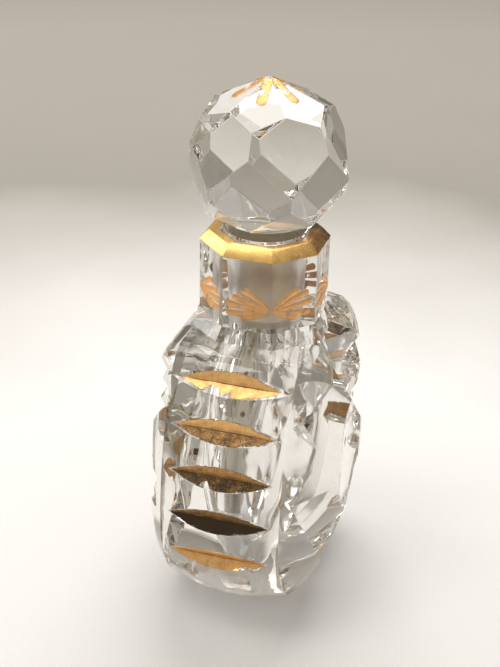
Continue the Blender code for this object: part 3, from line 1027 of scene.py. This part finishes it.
@dataclass
class Hollow:
    """The space for the scent: a flattened egg, a throat and the ground bore."""

    neck: Neck
    half_thickness: float = 5.8 * MM
    half_width: float = 14.0 * MM
    floor: float = 8.0 * MM
    height: float = 40.0 * MM
    throat_depth: float = 9.0 * MM
    steps: int = 64
    ripple: float = 0.22 * MM
    ripple_rate: Triple = (150.0, 150.0, 330.0)
    overshoot: float = 4.0 * MM

    def egg(self) -> bpy.types.Object:
        """The cutter of the wide part, rippled as a blown wall is."""
        shape = bmesh.new()
        turn = Matrix.Rotation(math.pi / self.steps, 4, "Z")
        rings = self.steps // 2
        bmesh.ops.create_uvsphere(
            shape, u_segments=self.steps, v_segments=rings, radius=1.0, matrix=turn
        )
        size = (self.half_thickness, self.half_width, self.height / 2)
        bmesh.ops.scale(shape, vec=size, verts=shape.verts)
        for vert in shape.verts:
            place = Vector([span * rate for span, rate in zip(vert.co, self.ripple_rate)])
            vert.co *= 1.0 + self.ripple * noise.noise(place) / self.half_thickness
        for face in shape.faces:
            face.material_index = Skin.BLOWN.value
        cutter = put("egg_core", mesh_from(shape, "egg_core"), [None, None, None])
        cutter.location.z = self.floor + self.height / 2
        return cutter

    def bore(self) -> bpy.types.Object:
        """The cutter of the bore and throat, its tapered wall marked as ground glass."""
        neck = self.neck
        end = neck.mouth - neck.bore_length
        throat_end = self.floor + self.height - self.throat_depth
        narrow = neck.bore_at(end)
        profile = [
            (0.0, neck.mouth + self.overshoot),
            (neck.bore_at(neck.mouth + self.overshoot), neck.mouth + self.overshoot),
            (narrow, end),
            (narrow, throat_end),
            (0.0, throat_end),
        ]
        mesh = turned(profile, self.steps, "bore_reamer")
        for polygon in mesh.polygons:
            level = abs(polygon.normal.z) > LEVEL
            above = polygon.center.z > end
            polygon.material_index = (Skin.GROUND if above and not level else Skin.BLOWN).value
        return put("bore_reamer", mesh, [None, None, None])


@dataclass
class Bottle:
    """The bottle: body and neck in one piece of glass, with its hollow and all its cutting."""

    body: Body = field(default_factory=Body)
    arris_angle: float = 16.0

    def __post_init__(self) -> None:
        """Work out the parts that fit on the body."""
        self.neck = Neck(self.body)
        self.hollow = Hollow(self.neck)
        self.edge_cuts = EdgeCuts(self.body)
        self.face_cuts = FaceCuts(self.body)

    def build(self, skins: list[bpy.types.Material]) -> bpy.types.Object:
        """Make the glass and dress it.

        Args:
            skins: the finishes of the polished glass, the ground bore and the blown hollow.

        Returns:
            The bottle, riding on its body.
        """
        glass = put("bottle_crystal", self.body.blank(), skins)
        neck = self.neck.solid()
        join_solid(glass, neck, Joining.ADD)
        tools = self.edge_cuts.cutters() + self.face_cuts.cutters()
        tools += [self.hollow.egg(), self.hollow.bore()]
        for tool in tools:
            join_solid(glass, tool, Joining.CUT)
        settle(glass, [neck, *tools])
        shade(glass, self.arris_angle)
        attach(glass, "bottle")
        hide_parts("bottle_glass")
        return glass


# ---------------------------------------------------------------- stopper


@dataclass
class Stopper:
    """The ground stopper: a faceted ball on a round foot, a collar and a tapered peg."""

    neck: Neck
    peg_clearance: float = 0.05 * MM
    peg_length: float = 13.0 * MM
    seat_gap: float = 0.1 * MM
    collar_height: float = 1.8 * MM
    foot_lip: float = 0.4 * MM
    foot_height: float = 0.9 * MM
    ball_radius: float = 11.0 * MM
    ball_foot_cut: float = 1.7 * MM
    ball_sides: int = 6
    ball_turn: float = math.radians(2.8)
    arris: float = 0.10 * MM
    arris_angle: float = 22.0
    stem_steps: int = 64
    lip_step: float = math.radians(22.5)
    ground_below: float = 0.5 * MM
    # Each row of facets: elevation of its normal, distance beyond the radius, half-step turn.
    crown: Triple = (math.radians(62.9), 0.34 * MM, 0.0)
    upper: Triple = (math.radians(21.4), -0.02 * MM, 0.5)
    girdle: Triple = (math.radians(-11.4), -0.08 * MM, 0.0)
    lower: Triple = (math.radians(-43.1), 0.37 * MM, 0.5)

    @property
    def seat(self) -> float:
        """Height of the collar's underside when the stopper is home."""
        return self.neck.mouth + self.seat_gap

    @property
    def ball_foot(self) -> float:
        """Height of the ball's foot."""
        return self.seat + self.collar_height

    @property
    def ball_centre(self) -> float:
        """Height of the ball's centre."""
        return self.ball_foot + self.ball_radius - self.ball_foot_cut

    def turn_of(self, i: int, half_step: float) -> float:
        """The turn about the axis of facet i in a row."""
        return self.ball_turn + (i + half_step) * 2 * math.pi / self.ball_sides

    def normal_of(self, elevation: float, turn: float) -> Vector:
        """A direction at an elevation, turned about Z from the front."""
        flat = math.cos(elevation)
        return Vector((math.sin(turn) * flat, -math.cos(turn) * flat, math.sin(elevation)))

    def ball(self) -> bpy.types.Object:
        """The faceted ball with its arrises just softened."""
        shape = bmesh.new()
        bmesh.ops.create_cube(shape, size=4 * self.ball_radius)
        for elevation, beyond, half_step in (self.crown, self.upper, self.girdle, self.lower):
            for i in range(self.ball_sides):
                normal = self.normal_of(elevation, self.turn_of(i, half_step))
                grind(shape, normal, normal * (self.ball_radius + beyond))
        foot = self.ball_foot + self.foot_height - self.ball_centre
        grind(shape, Vector((0, 0, -1)), Vector((0, 0, foot)))
        bmesh.ops.bevel(
            shape,
            geom=[*shape.edges],
            offset=self.arris,
            segments=2,
            profile=0.5,
            affect="EDGES",
        )
        ball = put("ball_blank", mesh_from(shape, "ball_blank"))
        ball.location.z = self.ball_centre
        return ball

    def stem(self) -> bpy.types.Mesh:
        """Foot, collar and peg turned in one, the peg marked as ground glass."""
        end = self.seat - self.peg_length
        lip = self.neck.collar_radius + self.foot_lip
        top = self.ball_foot + self.foot_height * 2
        edge = self.foot_height / 2
        lip_centre = (lip - edge, self.ball_foot + edge)
        profile = [
            (0.0, top),
            (lip - self.foot_height, top),
            *arc(lip_centre, edge, math.pi / 2, -math.pi / 2, self.lip_step),
            (self.neck.collar_radius, self.ball_foot),
            (self.neck.collar_radius, self.seat),
            (self.neck.bore_at(self.seat) - self.peg_clearance, self.seat),
            (self.neck.bore_at(end) - self.peg_clearance, end),
            (0.0, end),
        ]
        mesh = turned(profile, self.stem_steps, "stopper_stem")
        for polygon in mesh.polygons:
            below = polygon.center.z < self.seat - self.ground_below
            polygon.material_index = (Skin.GROUND if below else Skin.POLISHED).value
        return mesh

    def build(self, crystal: bpy.types.Material, ground: bpy.types.Material) -> bpy.types.Object:
        """Make the stopper and dress it.

        Args:
            crystal: the finish of the polished glass.
            ground: the finish of the peg.

        Returns:
            The stopper, riding on its body.
        """
        glass = put("stopper_crystal", self.stem(), [crystal, ground])
        ball = self.ball()
        join_solid(glass, ball, Joining.ADD)
        settle(glass, [ball])
        shade(glass, self.arris_angle)
        glass.modifiers.new("facets", "WEIGHTED_NORMAL").keep_sharp = True
        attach(glass, "stopper")
        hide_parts("stopper_glass")
        return glass


# ---------------------------------------------------------------- gilding


def mark_points(mesh: bpy.types.Mesh, what: str, value: Callable[[int], float]) -> None:
    """Record how the gold lies at each point.

    Args:
        mesh: the gilding's mesh.
        what: thinness, from 0 (thick) to 1 (frayed), or tarnish_and_shade, tarnish with painted
            shade, from 0 (clean) to 1 (black).
        value: gives it for a vertex's number.
    """
    layer = mesh.attributes.new(what, "FLOAT", "POINT")
    layer.data.foreach_set("value", [value(i) for i in range(len(mesh.vertices))])


def brush_mark(
    length: float, root: float, tip: float, bend: float, height: float
) -> bmesh.types.BMesh:
    """One stroke of a loaded brush: narrow where it starts, round where it ends, crowned between.

    Args:
        length: its length, along X.
        root: its width near the start.
        tip: its width near the end.
        bend: how far its middle bows sideways.
        height: how thick the gold stands.

    Returns:
        The stroke, closed, with its flat back on Z = 0.
    """
    shape = bmesh.new()
    lie = Matrix.Rotation(math.pi / 2, 4, "Y")
    bmesh.ops.create_uvsphere(
        shape, u_segments=STROKE_AROUND, v_segments=STROKE_ALONG, radius=1.0, matrix=lie
    )
    for vert in shape.verts:
        x, y, z = vert.co
        girth = math.sqrt(max(1e-9, 1.0 - x * x))
        along = (x + 1.0) / 2.0
        half = (root + (tip - root) * along) / 2
        distance = length * along
        from_end = min(distance, length - distance)
        round_off = math.sqrt(max(0.0, 1.0 - max(0.0, 1.0 - from_end / half) ** 2))
        vert.co.x = distance
        vert.co.y = y / girth * half * round_off + bend * 4 * along * (1 - along)
        vert.co.z = max(0.0, z / girth) * height * round_off
    return shape


def brushed(
    name: str, shape: bmesh.types.BMesh, placing: Matrix, gold: bpy.types.Material
) -> bpy.types.Object:
    """Make a piece of brushed strokes, thin round the rim where they meet the glass.

    Args:
        name: the piece's name.
        shape: its strokes.
        placing: where it stands.
        gold: the finish.

    Returns:
        The piece.
    """
    mesh = mesh_from(shape, name)
    rim = [vert.co.z < STROKE_RIM for vert in mesh.vertices]
    mark_points(mesh, "thinness", lambda i: RIM_THINNESS if rim[i] else 0.0)
    piece = put(name, mesh, [gold])
    piece.matrix_world = placing
    shade(piece, STROKE_ARRIS)
    return piece


@dataclass(frozen=True)
class Bite:
    """A place where the outer part of a film has been rubbed off."""

    cut: str
    flank: int
    place: float
    half_width: float
    depth: float
    steepness: float = 1.6

    def taken(self, cut: str, flank: int, place: float) -> float:
        """Say how much of the flank is gone.

        Args:
            cut: the cut's name.
            flank: 1 for the upper flank, -1 for the lower.
            place: from -1 to 1 along the cut.

        Returns:
            The share of the flank's width that is bare there.
        """
        if cut != self.cut or flank != self.flank:
            return 0.0
        away = abs(place - self.place) / self.half_width
        return self.depth * max(0.0, min(1.0, self.steepness * (1.0 - away)))


@dataclass
class EdgeGilding:
    """The boat-shaped gold film over one mitre cut of a narrow edge."""

    cuts: EdgeCuts
    thickness: float = 0.07 * MM
    gap: float = 0.03 * MM
    margin: float = 0.02 * MM
    along_steps: int = 110
    across_steps: int = 6
    crowding: float = 1.6
    wobble: float = 0.02 * MM
    least_ragged: float = 0.02 * MM
    ragged_rate: float = 1.4
    flank_seed: float = 7.0
    bite_fray: float = 0.3
    bite_fray_rate: float = 3.0
    edge_fray: int = 8
    tip_fray: int = 12
    valley_painted_shade: float = 0.95
    valley_shade_fade: float = 12.0
    arris_angle: float = 30.0
    bites: tuple[Bite, ...] = (
        Bite("front_cut_1", -1, -0.32, 0.22, 0.80),
        Bite("front_cut_1", -1, -0.02, 0.10, 0.45),
        Bite("front_cut_3", -1, -0.28, 0.12, 0.62),
        Bite("front_cut_4", 1, 0.72, 0.12, 0.30),
        Bite("front_cut_5", -1, 0.55, 0.20, 0.35),
        Bite("back_cut_2", -1, 0.35, 0.20, 0.70),
        Bite("back_cut_4", 1, -0.40, 0.16, 0.50),
    )
    # How dark each cut's upper and lower flank is: partly real tarnish, partly painted shade that
    # darkens most lower flanks as if they mirrored the dark room in front.
    tarnish_and_shade: dict[str, tuple[float, float]] = field(
        default_factory=lambda: {
            "front_cut_1": (0.10, 0.20),
            "front_cut_2": (0.15, 0.62),
            "front_cut_3": (0.40, 0.72),
            "front_cut_4": (0.50, 1.0),
            "front_cut_5": (0.05, 0.15),
            "back_cut_1": (0.05, 0.10),
            "back_cut_2": (0.10, 0.35),
            "back_cut_3": (0.20, 0.60),
            "back_cut_4": (0.10, 0.30),
            "back_cut_5": (0.25, 0.15),
        }
    )

    def flank_of(self, placing: Matrix, side: int) -> int:
        """Tell which flank a side of the film lies on: 1 for the upper, -1 for the lower."""
        across = placing.col[0]
        return 1 if across.z * side > 0 else -1

    def sheet(self, name: str, placing: Matrix) -> tuple[bpy.types.Mesh, bool]:
        """The film before it has a thickness, laid over both flanks of its cut.

        Args:
            name: the cut's name.
            placing: the cut's placing.

        Returns:
            The mesh with its wear, tarnish and painted shade recorded, and whether its faces look
            out of the glass.
        """
        radius = self.cuts.body.crown_radius
        tangent = math.tan(self.cuts.half_angle)
        lift = self.gap / math.sin(self.cuts.half_angle)
        rise = self.cuts.depth - lift - self.margin
        floor = lift - self.cuts.depth
        end = math.sqrt(2 * radius * (rise - self.margin))
        shape = bmesh.new()
        thin: list[float] = []
        shade_and_tarnish_at: list[float] = []
        rows = []
        for i in range(self.along_steps + 1):
            along = -end + 2 * end * i / self.along_steps
            full = rise - along * along / (2 * radius)
            row = []
            for j in range(-self.across_steps, self.across_steps + 1):
                flank = self.flank_of(placing, j)
                across = math.copysign(self.flank_seed, j)
                seed = Vector((along / MM * self.ragged_rate, across, placing.translation.z / MM))
                ragged = self.wobble * (1.0 + noise.noise(seed)) + self.least_ragged
                gone = max(bite.taken(name, flank, along / end) for bite in self.bites)
                frayed = self.bite_fray * noise.noise(seed * self.bite_fray_rate)
                gone *= 1.0 - self.bite_fray / 2 + frayed
                share = (abs(j) / self.across_steps) ** self.crowding
                height = max(0.0, full - ragged) * (1.0 - gone) * share
                place = (math.copysign(height * tangent, j), floor + height, along)
                row.append(shape.verts.new(place))
                thin.append(max(share**self.edge_fray, (abs(along) / end) ** self.tip_fray))
                # Painted shade: the floor of each cut is painted nearly black, fading fast up its
                # flanks.
                valley_shade = self.valley_painted_shade - self.valley_shade_fade * share
                # Each flank's tarnish with its painted shade, or the valley's painted shade where
                # that is darker.
                shade_and_tarnish_at.append(max(self.tarnish_and_shade[name][0 if flank > 0 else 1], valley_shade))
            rows.append(row)
        for row, following in zip(rows, rows[1:]):
            for j in range(len(row) - 1):
                shape.faces.new((row[j], row[j + 1], following[j + 1], following[j]))
        bmesh.ops.recalc_face_normals(shape, faces=shape.faces)
        shape.faces.ensure_lookup_table()
        outward = shape.faces[0].normal.y > 0
        mesh = bpy.data.meshes.new(f"gilding_{name}")
        shape.to_mesh(mesh)
        shape.free()
        mark_points(mesh, "thinness", lambda i: thin[i])
        mark_points(mesh, "tarnish_and_shade", lambda i: shade_and_tarnish_at[i])
        return mesh, outward

    def build(self, name: str, placing: Matrix, gold: bpy.types.Material) -> bpy.types.Object:
        """Make one film and dress it.

        Args:
            name: the cut's name.
            placing: the cut's placing.
            gold: the finish.

        Returns:
            The film, riding on the bottle.
        """
        mesh, outward = self.sheet(name, placing)
        film = put(f"gilding_{name}", mesh, [gold])
        film.matrix_world = placing
        solid = film.modifiers.new("film", "SOLIDIFY")
        solid.thickness = self.thickness
        solid.offset = 1.0 if outward else -1.0
        settle(film, [])
        shade(film, self.arris_angle)
        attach(film, "bottle")
        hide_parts(f"gilt_{name}")
        return film


@dataclass
class MouthGilding:
    """The gold on the mouth's flat and bevel, with painted shade round it."""

    neck: Neck
    thickness: float = 0.10 * MM
    gap: float = 0.04 * MM
    # Painted shade: the turn where the mouth's gold is painted lightest, how dark it is painted
    # opposite, and how fast it darkens.
    lit_turn: float = math.radians(-118.0)
    darkest_shade: float = 1.0
    fade_power: float = 1.5
    frayed_foot: float = 0.3 * MM
    softening: float = 0.04 * MM
    arris_angle: float = 25.0

    def line(self, clear: float) -> list[Point]:
        """The gold's line over the mouth, moved out of the glass.

        Args:
            clear: how far it is moved.

        Returns:
            The flat's bore side, its corner and the bevel's foot.
        """
        neck = self.neck
        slope = math.atan2(neck.bevel_height, neck.bevel_width)
        return [
            (neck.ring_inner, neck.mouth + clear),
            (neck.ring_outer + clear * math.tan(slope / 2), neck.mouth + clear),
            (neck.radius + clear * math.sin(slope), neck.top + clear * math.cos(slope)),
        ]

    def shade_round_mouth(self, place: Vector) -> float:
        """Painted shade on the gold: lightest at the front left, where the light falls, and darker
        round the far side.

        Args:
            place: a point on it, before the neck's turn.

        Returns:
            The painted shade there.
        """
        turn = math.atan2(place.y, place.x) + self.neck.arris_turn
        away = 0.5 - 0.5 * math.cos(turn - self.lit_turn)
        return self.darkest_shade * away**self.fade_power

    def build(self, gold: bpy.types.Material) -> bpy.types.Object:
        """Make the gilded mouth and dress it.

        Args:
            gold: the finish.

        Returns:
            The gilding, riding on the bottle.
        """
        outer = self.line(self.gap + self.thickness)
        inner = self.line(self.gap)
        mesh = turned([*outer, *reversed(inner), outer[0]], self.neck.sides, "gilding_mouth")
        lowest = self.neck.top + self.frayed_foot
        mark_points(mesh, "thinness", lambda i: 1.0 if mesh.vertices[i].co.z < lowest else 0.0)
        # Painted shade round the mouth, carried in the tarnish_and_shade points.
        mark_points(mesh, "tarnish_and_shade", lambda i: self.shade_round_mouth(mesh.vertices[i].co))
        cap = put("gilding_mouth", mesh, [gold])
        cap.rotation_euler.z = self.neck.arris_turn
        soften = cap.modifiers.new("soften", "BEVEL")
        soften.width = self.softening
        soften.segments = 2
        settle(cap, [])
        shade(cap, self.arris_angle)
        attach(cap, "bottle")
        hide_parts("gilt_mouth_rim")
        return cap


@dataclass
class NeckSprays:
    """Leaf sprays brushed on the neck's panels, in mirrored pairs that share an arris."""

    neck: Neck
    gap: float = 0.03 * MM
    height: float = 0.12 * MM
    root_rise: float = 3.7 * MM
    root_inset: float = 0.25 * MM
    root_width: float = 0.60 * MM
    tip_width: float = 1.20 * MM
    length_vary: float = 0.06
    width_vary: float = 0.15
    turn_vary: float = 2.5
    seed: Triple = (3.7, 5.3, 0.5)
    # Each stroke from the lowest up: rise from level in degrees, length, sideways bow.
    strokes: tuple[Triple, ...] = (
        (-21.0, 4.8 * MM, -0.20 * MM),
        (-9.0, 6.8 * MM, -0.25 * MM),
        (5.0, 6.9 * MM, -0.10 * MM),
        (18.0, 6.3 * MM, 0.10 * MM),
        (33.0, 5.2 * MM, 0.30 * MM),
    )

    def placing(self, i: int) -> tuple[Matrix, int]:
        """Where panel i's spray stands.

        Args:
            i: the panel's number, counted from the front one.

        Returns:
            Its placing, with local Z out of the glass, and the side that it grows from.
        """
        flat = self.neck.radius * math.cos(math.pi / self.neck.sides)
        half_panel = self.neck.radius * math.sin(math.pi / self.neck.sides)
        turn = i * 2 * math.pi / self.neck.sides
        shared = 1 if i % 2 == 0 else -1
        out = Vector((math.sin(turn), -math.cos(turn), 0.0))
        across = Vector((math.cos(turn), math.sin(turn), 0.0))
        matrix = Matrix((across, Vector((0.0, 0.0, 1.0)), out)).transposed().to_4x4()
        sideways = across * shared * (half_panel - self.root_inset)
        matrix.translation = out * (flat + self.gap) + sideways
        matrix.translation.z = self.neck.foot + self.root_rise
        return matrix, shared

    def spray(self, i: int, shared: int) -> bmesh.types.BMesh:
        """The strokes of one spray.

        Args:
            i: its panel's number.
            shared: the side of the panel that it grows from.

        Returns:
            All its strokes in one bmesh.
        """
        shape = bmesh.new()
        mirror = Matrix.Diagonal((-shared, 1.0, 1.0, 1.0))
        for k, (rise, length, bow) in enumerate(self.strokes):
            wobble = noise.noise(Vector((i * self.seed[0], k * self.seed[1], self.seed[2])))
            stroke = brush_mark(
                length * (1 + self.length_vary * wobble),
                self.root_width,
                self.tip_width * (1 + self.width_vary * wobble),
                bow,
                self.height,
            )
            turn = Matrix.Rotation(math.radians(rise + self.turn_vary * wobble), 4, "Z")
            bmesh.ops.transform(stroke, matrix=mirror @ turn, verts=stroke.verts)
            part = bpy.data.meshes.new("stroke")
            stroke.to_mesh(part)
            stroke.free()
            shape.from_mesh(part)
            bpy.data.meshes.remove(part)
        return shape

    def build(self, gold: bpy.types.Material) -> list[bpy.types.Object]:
        """Make the eight sprays and dress them.

        Args:
            gold: the finish.

        Returns:
            The sprays, riding on the bottle.
        """
        made = []
        for i in range(self.neck.sides):
            placing, shared = self.placing(i)
            name = f"gilding_neck_spray_{i + 1}"
            spray = brushed(name, self.spray(i, shared), placing, gold)
            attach(spray, "bottle")
            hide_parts(f"gilt_neck_spray_{i + 1}")
            made.append(spray)
        return made


@dataclass
class CrownStrokes:
    """One brushed stroke down each crown facet of the ball."""

    stopper: Stopper
    gap: float = 0.03 * MM
    height: float = 0.10 * MM
    length: float = 5.6 * MM
    width: float = 1.65 * MM
    start: float = 0.7 * MM
    root_share: float = 0.9
    length_vary: float = 0.05
    bow: float = 0.1 * MM
    seed: Triple = (2.3, 1.7, 4.1)

    def build(self, gold: bpy.types.Material) -> list[bpy.types.Object]:
        """Make the strokes and dress them.

        Args:
            gold: the finish.

        Returns:
            The strokes, riding on the stopper.
        """
        made = []
        elevation, beyond, half_step = self.stopper.crown
        distance = self.stopper.ball_radius + beyond
        for i in range(self.stopper.ball_sides):
            turn = self.stopper.turn_of(i, half_step)
            out = self.stopper.normal_of(elevation, turn)
            down = -self.stopper.normal_of(elevation + math.pi / 2, turn)
            apex = distance / math.tan(elevation)
            placing = Matrix((down, out.cross(down), out)).transposed().to_4x4()
            placing.translation = out * (distance + self.gap) - down * (apex - self.start)
            placing.translation.z += self.stopper.ball_centre
            wobble = noise.noise(Vector((i * self.seed[0], self.seed[1], self.seed[2])))
            stroke = brush_mark(
                self.length * (1 + self.length_vary * wobble),
                self.width * self.root_share,
                self.width,
                self.bow * wobble,
                self.height,
            )
            mark = brushed(f"gilding_stopper_stroke_{i + 1}", stroke, placing, gold)
            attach(mark, "stopper")
            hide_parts(f"gilt_stopper_stroke_{i + 1}")
            made.append(mark)
        return made


# ---------------------------------------------------------------- stage


@dataclass
class SoftBox:
    """One soft studio lamp."""

    name: str
    place: Triple
    aim: Triple
    size: tuple[float, float]
    power: float
    colour: Triple = (1.0, 1.0, 1.0)

    def build(self) -> bpy.types.Object:
        """Hang the lamp."""
        light = bpy.data.lights.new(self.name, "AREA")
        light.shape = "RECTANGLE"
        light.size, light.size_y = self.size
        light.energy = self.power
        light.color = self.colour
        lamp = bpy.data.objects.new(self.name, light)
        bpy.context.scene.collection.objects.link(lamp)
        lamp.location = self.place
        facing = Vector(self.aim) - Vector(self.place)
        lamp.rotation_euler = facing.to_track_quat("-Z", "Y").to_euler()
        return lamp


@dataclass
class Stage:
    """The cloth that the bottle stands on, the room's soft light and the camera."""

    azimuth: float = math.radians(16.5)
    pitch: float = math.radians(27.5)
    roll: float = math.radians(1.35)
    distance: float = 221.5 * MM
    aim_height: float = 43.4 * MM
    side_step: float = -2.0 * MM
    lens: float = 75.56
    sensor: float = 36.0
    nearest: float = 0.01
    bounces: int = 24
    cloth_half: float = 1.2
    cloth_squares: int = 80
    flat_within: float = 0.06
    uneven_over: float = 0.2
    swell: float = 1.5 * MM
    swell_rate: float = 7.0
    sag: float = 1.6 * MM
    under_foot: float = 0.05 * MM
    low_air: Triple = (0.25, 0.215, 0.17)
    high_air: Triple = (0.66, 0.64, 0.61)
    high_at: float = 0.75
    lamps: tuple[SoftBox, ...] = (
        SoftBox(
            "ceiling_box",
            place=(-0.03, 0.21, 0.40),
            aim=(0.0, 0.02, 0.0),
            size=(0.30, 0.22),
            power=1.08,
            colour=(1.0, 0.985, 0.965),
        ),
        SoftBox(
            "reading_lamp",
            place=(-0.12, -0.12, 0.42),
            aim=(0.0, 0.0, 0.03),
            size=(0.13, 0.13),
            power=0.27,
            colour=(1.0, 0.96, 0.90),
        ),
        SoftBox(
            "window_box",
            place=(-0.45, 0.10, 0.20),
            aim=(0.0, 0.0, 0.04),
            size=(0.14, 0.26),
            power=0.45,
            colour=(0.97, 0.985, 1.0),
        ),
    )

    def cloth(self, finish: bpy.types.Material) -> bpy.types.Object:
        """The pale cloth, lightly uneven.

        Args:
            finish: its finish.

        Returns:
            The cloth, part of the stage.
        """
        shape = bmesh.new()
        squares = self.cloth_squares
        bmesh.ops.create_grid(shape, x_segments=squares, y_segments=squares, size=self.cloth_half)
        for vert in shape.verts:
            away = (vert.co.length - self.flat_within) / self.uneven_over
            away = max(0.0, min(1.0, away))
            swell = noise.noise(vert.co * self.swell_rate) * self.swell * away
            vert.co.z = swell - self.sag * away - self.under_foot
        cloth = put("cloth", mesh_from(shape, "cloth"), [finish])
        shade(cloth, 60.0)
        return cloth

    def air(self) -> bpy.types.World:
        """The room: warm grey at eye level, paler overhead."""
        world = bpy.data.worlds.new("studio_air")
        world.use_nodes = True
        tree = world.node_tree
        where = tree.nodes.new("ShaderNodeTexCoord")
        split = tree.nodes.new("ShaderNodeSeparateXYZ")
        ramp = tree.nodes.new("ShaderNodeValToRGB")
        tree.links.new(where.outputs["Generated"], split.inputs["Vector"])
        tree.links.new(split.outputs["Z"], ramp.inputs["Fac"])
        tree.links.new(ramp.outputs["Color"], tree.nodes["Background"].inputs["Color"])
        low, high = ramp.color_ramp.elements
        low.position, low.color = 0.0, (*self.low_air, 1.0)
        high.position, high.color = self.high_at, (*self.high_air, 1.0)
        bpy.context.scene.world = world
        return world

    def camera(self) -> bpy.types.Object:
        """Stand the camera where the bottle is seen along its narrow edge, from above."""
        a, e = self.azimuth, self.pitch
        back = Vector((math.sin(a) * math.cos(e), -math.cos(a) * math.cos(e), math.sin(e)))
        right = Vector((math.cos(a), math.sin(a), 0.0))
        lens = bpy.data.cameras.new("camera")
        lens.lens = self.lens
        lens.sensor_fit = "AUTO"
        lens.sensor_width = self.sensor
        lens.clip_start = self.nearest
        camera = bpy.data.objects.new("camera", lens)
        bpy.context.scene.collection.objects.link(camera)
        aim = Vector((0.0, 0.0, self.aim_height))
        camera.location = aim + back * self.distance + right * self.side_step
        facing = (-back).to_track_quat("-Z", "Y").to_matrix().to_4x4()
        turned_frame = facing @ Matrix.Rotation(self.roll, 4, "Z")
        camera.rotation_euler = turned_frame.to_euler()
        bpy.context.scene.camera = camera
        return camera

    def build(self) -> None:
        """Lay the cloth, hang the lamps and stand the camera."""
        self.cloth(PaleCloth().make())
        self.air()
        for lamp in self.lamps:
            lamp.build()
        self.camera()
        bpy.context.scene.view_settings.view_transform = "Standard"
        light_paths = bpy.context.scene.cycles
        light_paths.max_bounces = self.bounces
        light_paths.transmission_bounces = self.bounces
        light_paths.glossy_bounces = self.bounces


# ---------------------------------------------------------------- all together


def report(pieces: list[bpy.types.Object]) -> None:
    """Log each piece's name and face count."""
    for piece in pieces:
        LOG.info("%s: %d faces", piece.name, len(piece.data.polygons))


def main() -> None:
    """Build the bottle, its stopper and its gilding, then the stage."""
    logging.basicConfig(level=logging.INFO, format="%(name)s %(message)s")
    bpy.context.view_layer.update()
    crystal = ClearCrystal().make()
    ground = GroundCrystal().make()
    blown = ClearCrystal("blown_crystal", clearest=0.07, dullest=0.16).make()
    gold = FiredGold("fired_gold").make()
    matt = FiredGold("matt_gold", bright=(1.0, 0.58, 0.27), rubbed=0.7, dullness=0.62)
    crown = FiredGold("crown_gold", bright=(0.74, 0.42, 0.17), rubbed=0.95, dullness=0.62)
    mouth = FiredGold("mouth_gold", bright=(1.0, 0.66, 0.22), rubbed=0.1, stained=0.24)
    matt_gold, crown_gold, mouth_gold = (finish.make() for finish in (matt, crown, mouth))
    bottle = Bottle()
    report([bottle.build([crystal, ground, blown])])
    stopper = Stopper(bottle.neck)
    report([stopper.build(crystal, ground)])
    film = EdgeGilding(bottle.edge_cuts)
    placings = bottle.edge_cuts.placings()
    report([film.build(name, placing, gold) for name, placing in placings.items()])
    report([MouthGilding(bottle.neck).build(mouth_gold)])
    report(NeckSprays(bottle.neck).build(matt_gold))
    report(CrownStrokes(stopper).build(crown_gold))
    Stage().build()


if __name__ == "__main__":
    main()
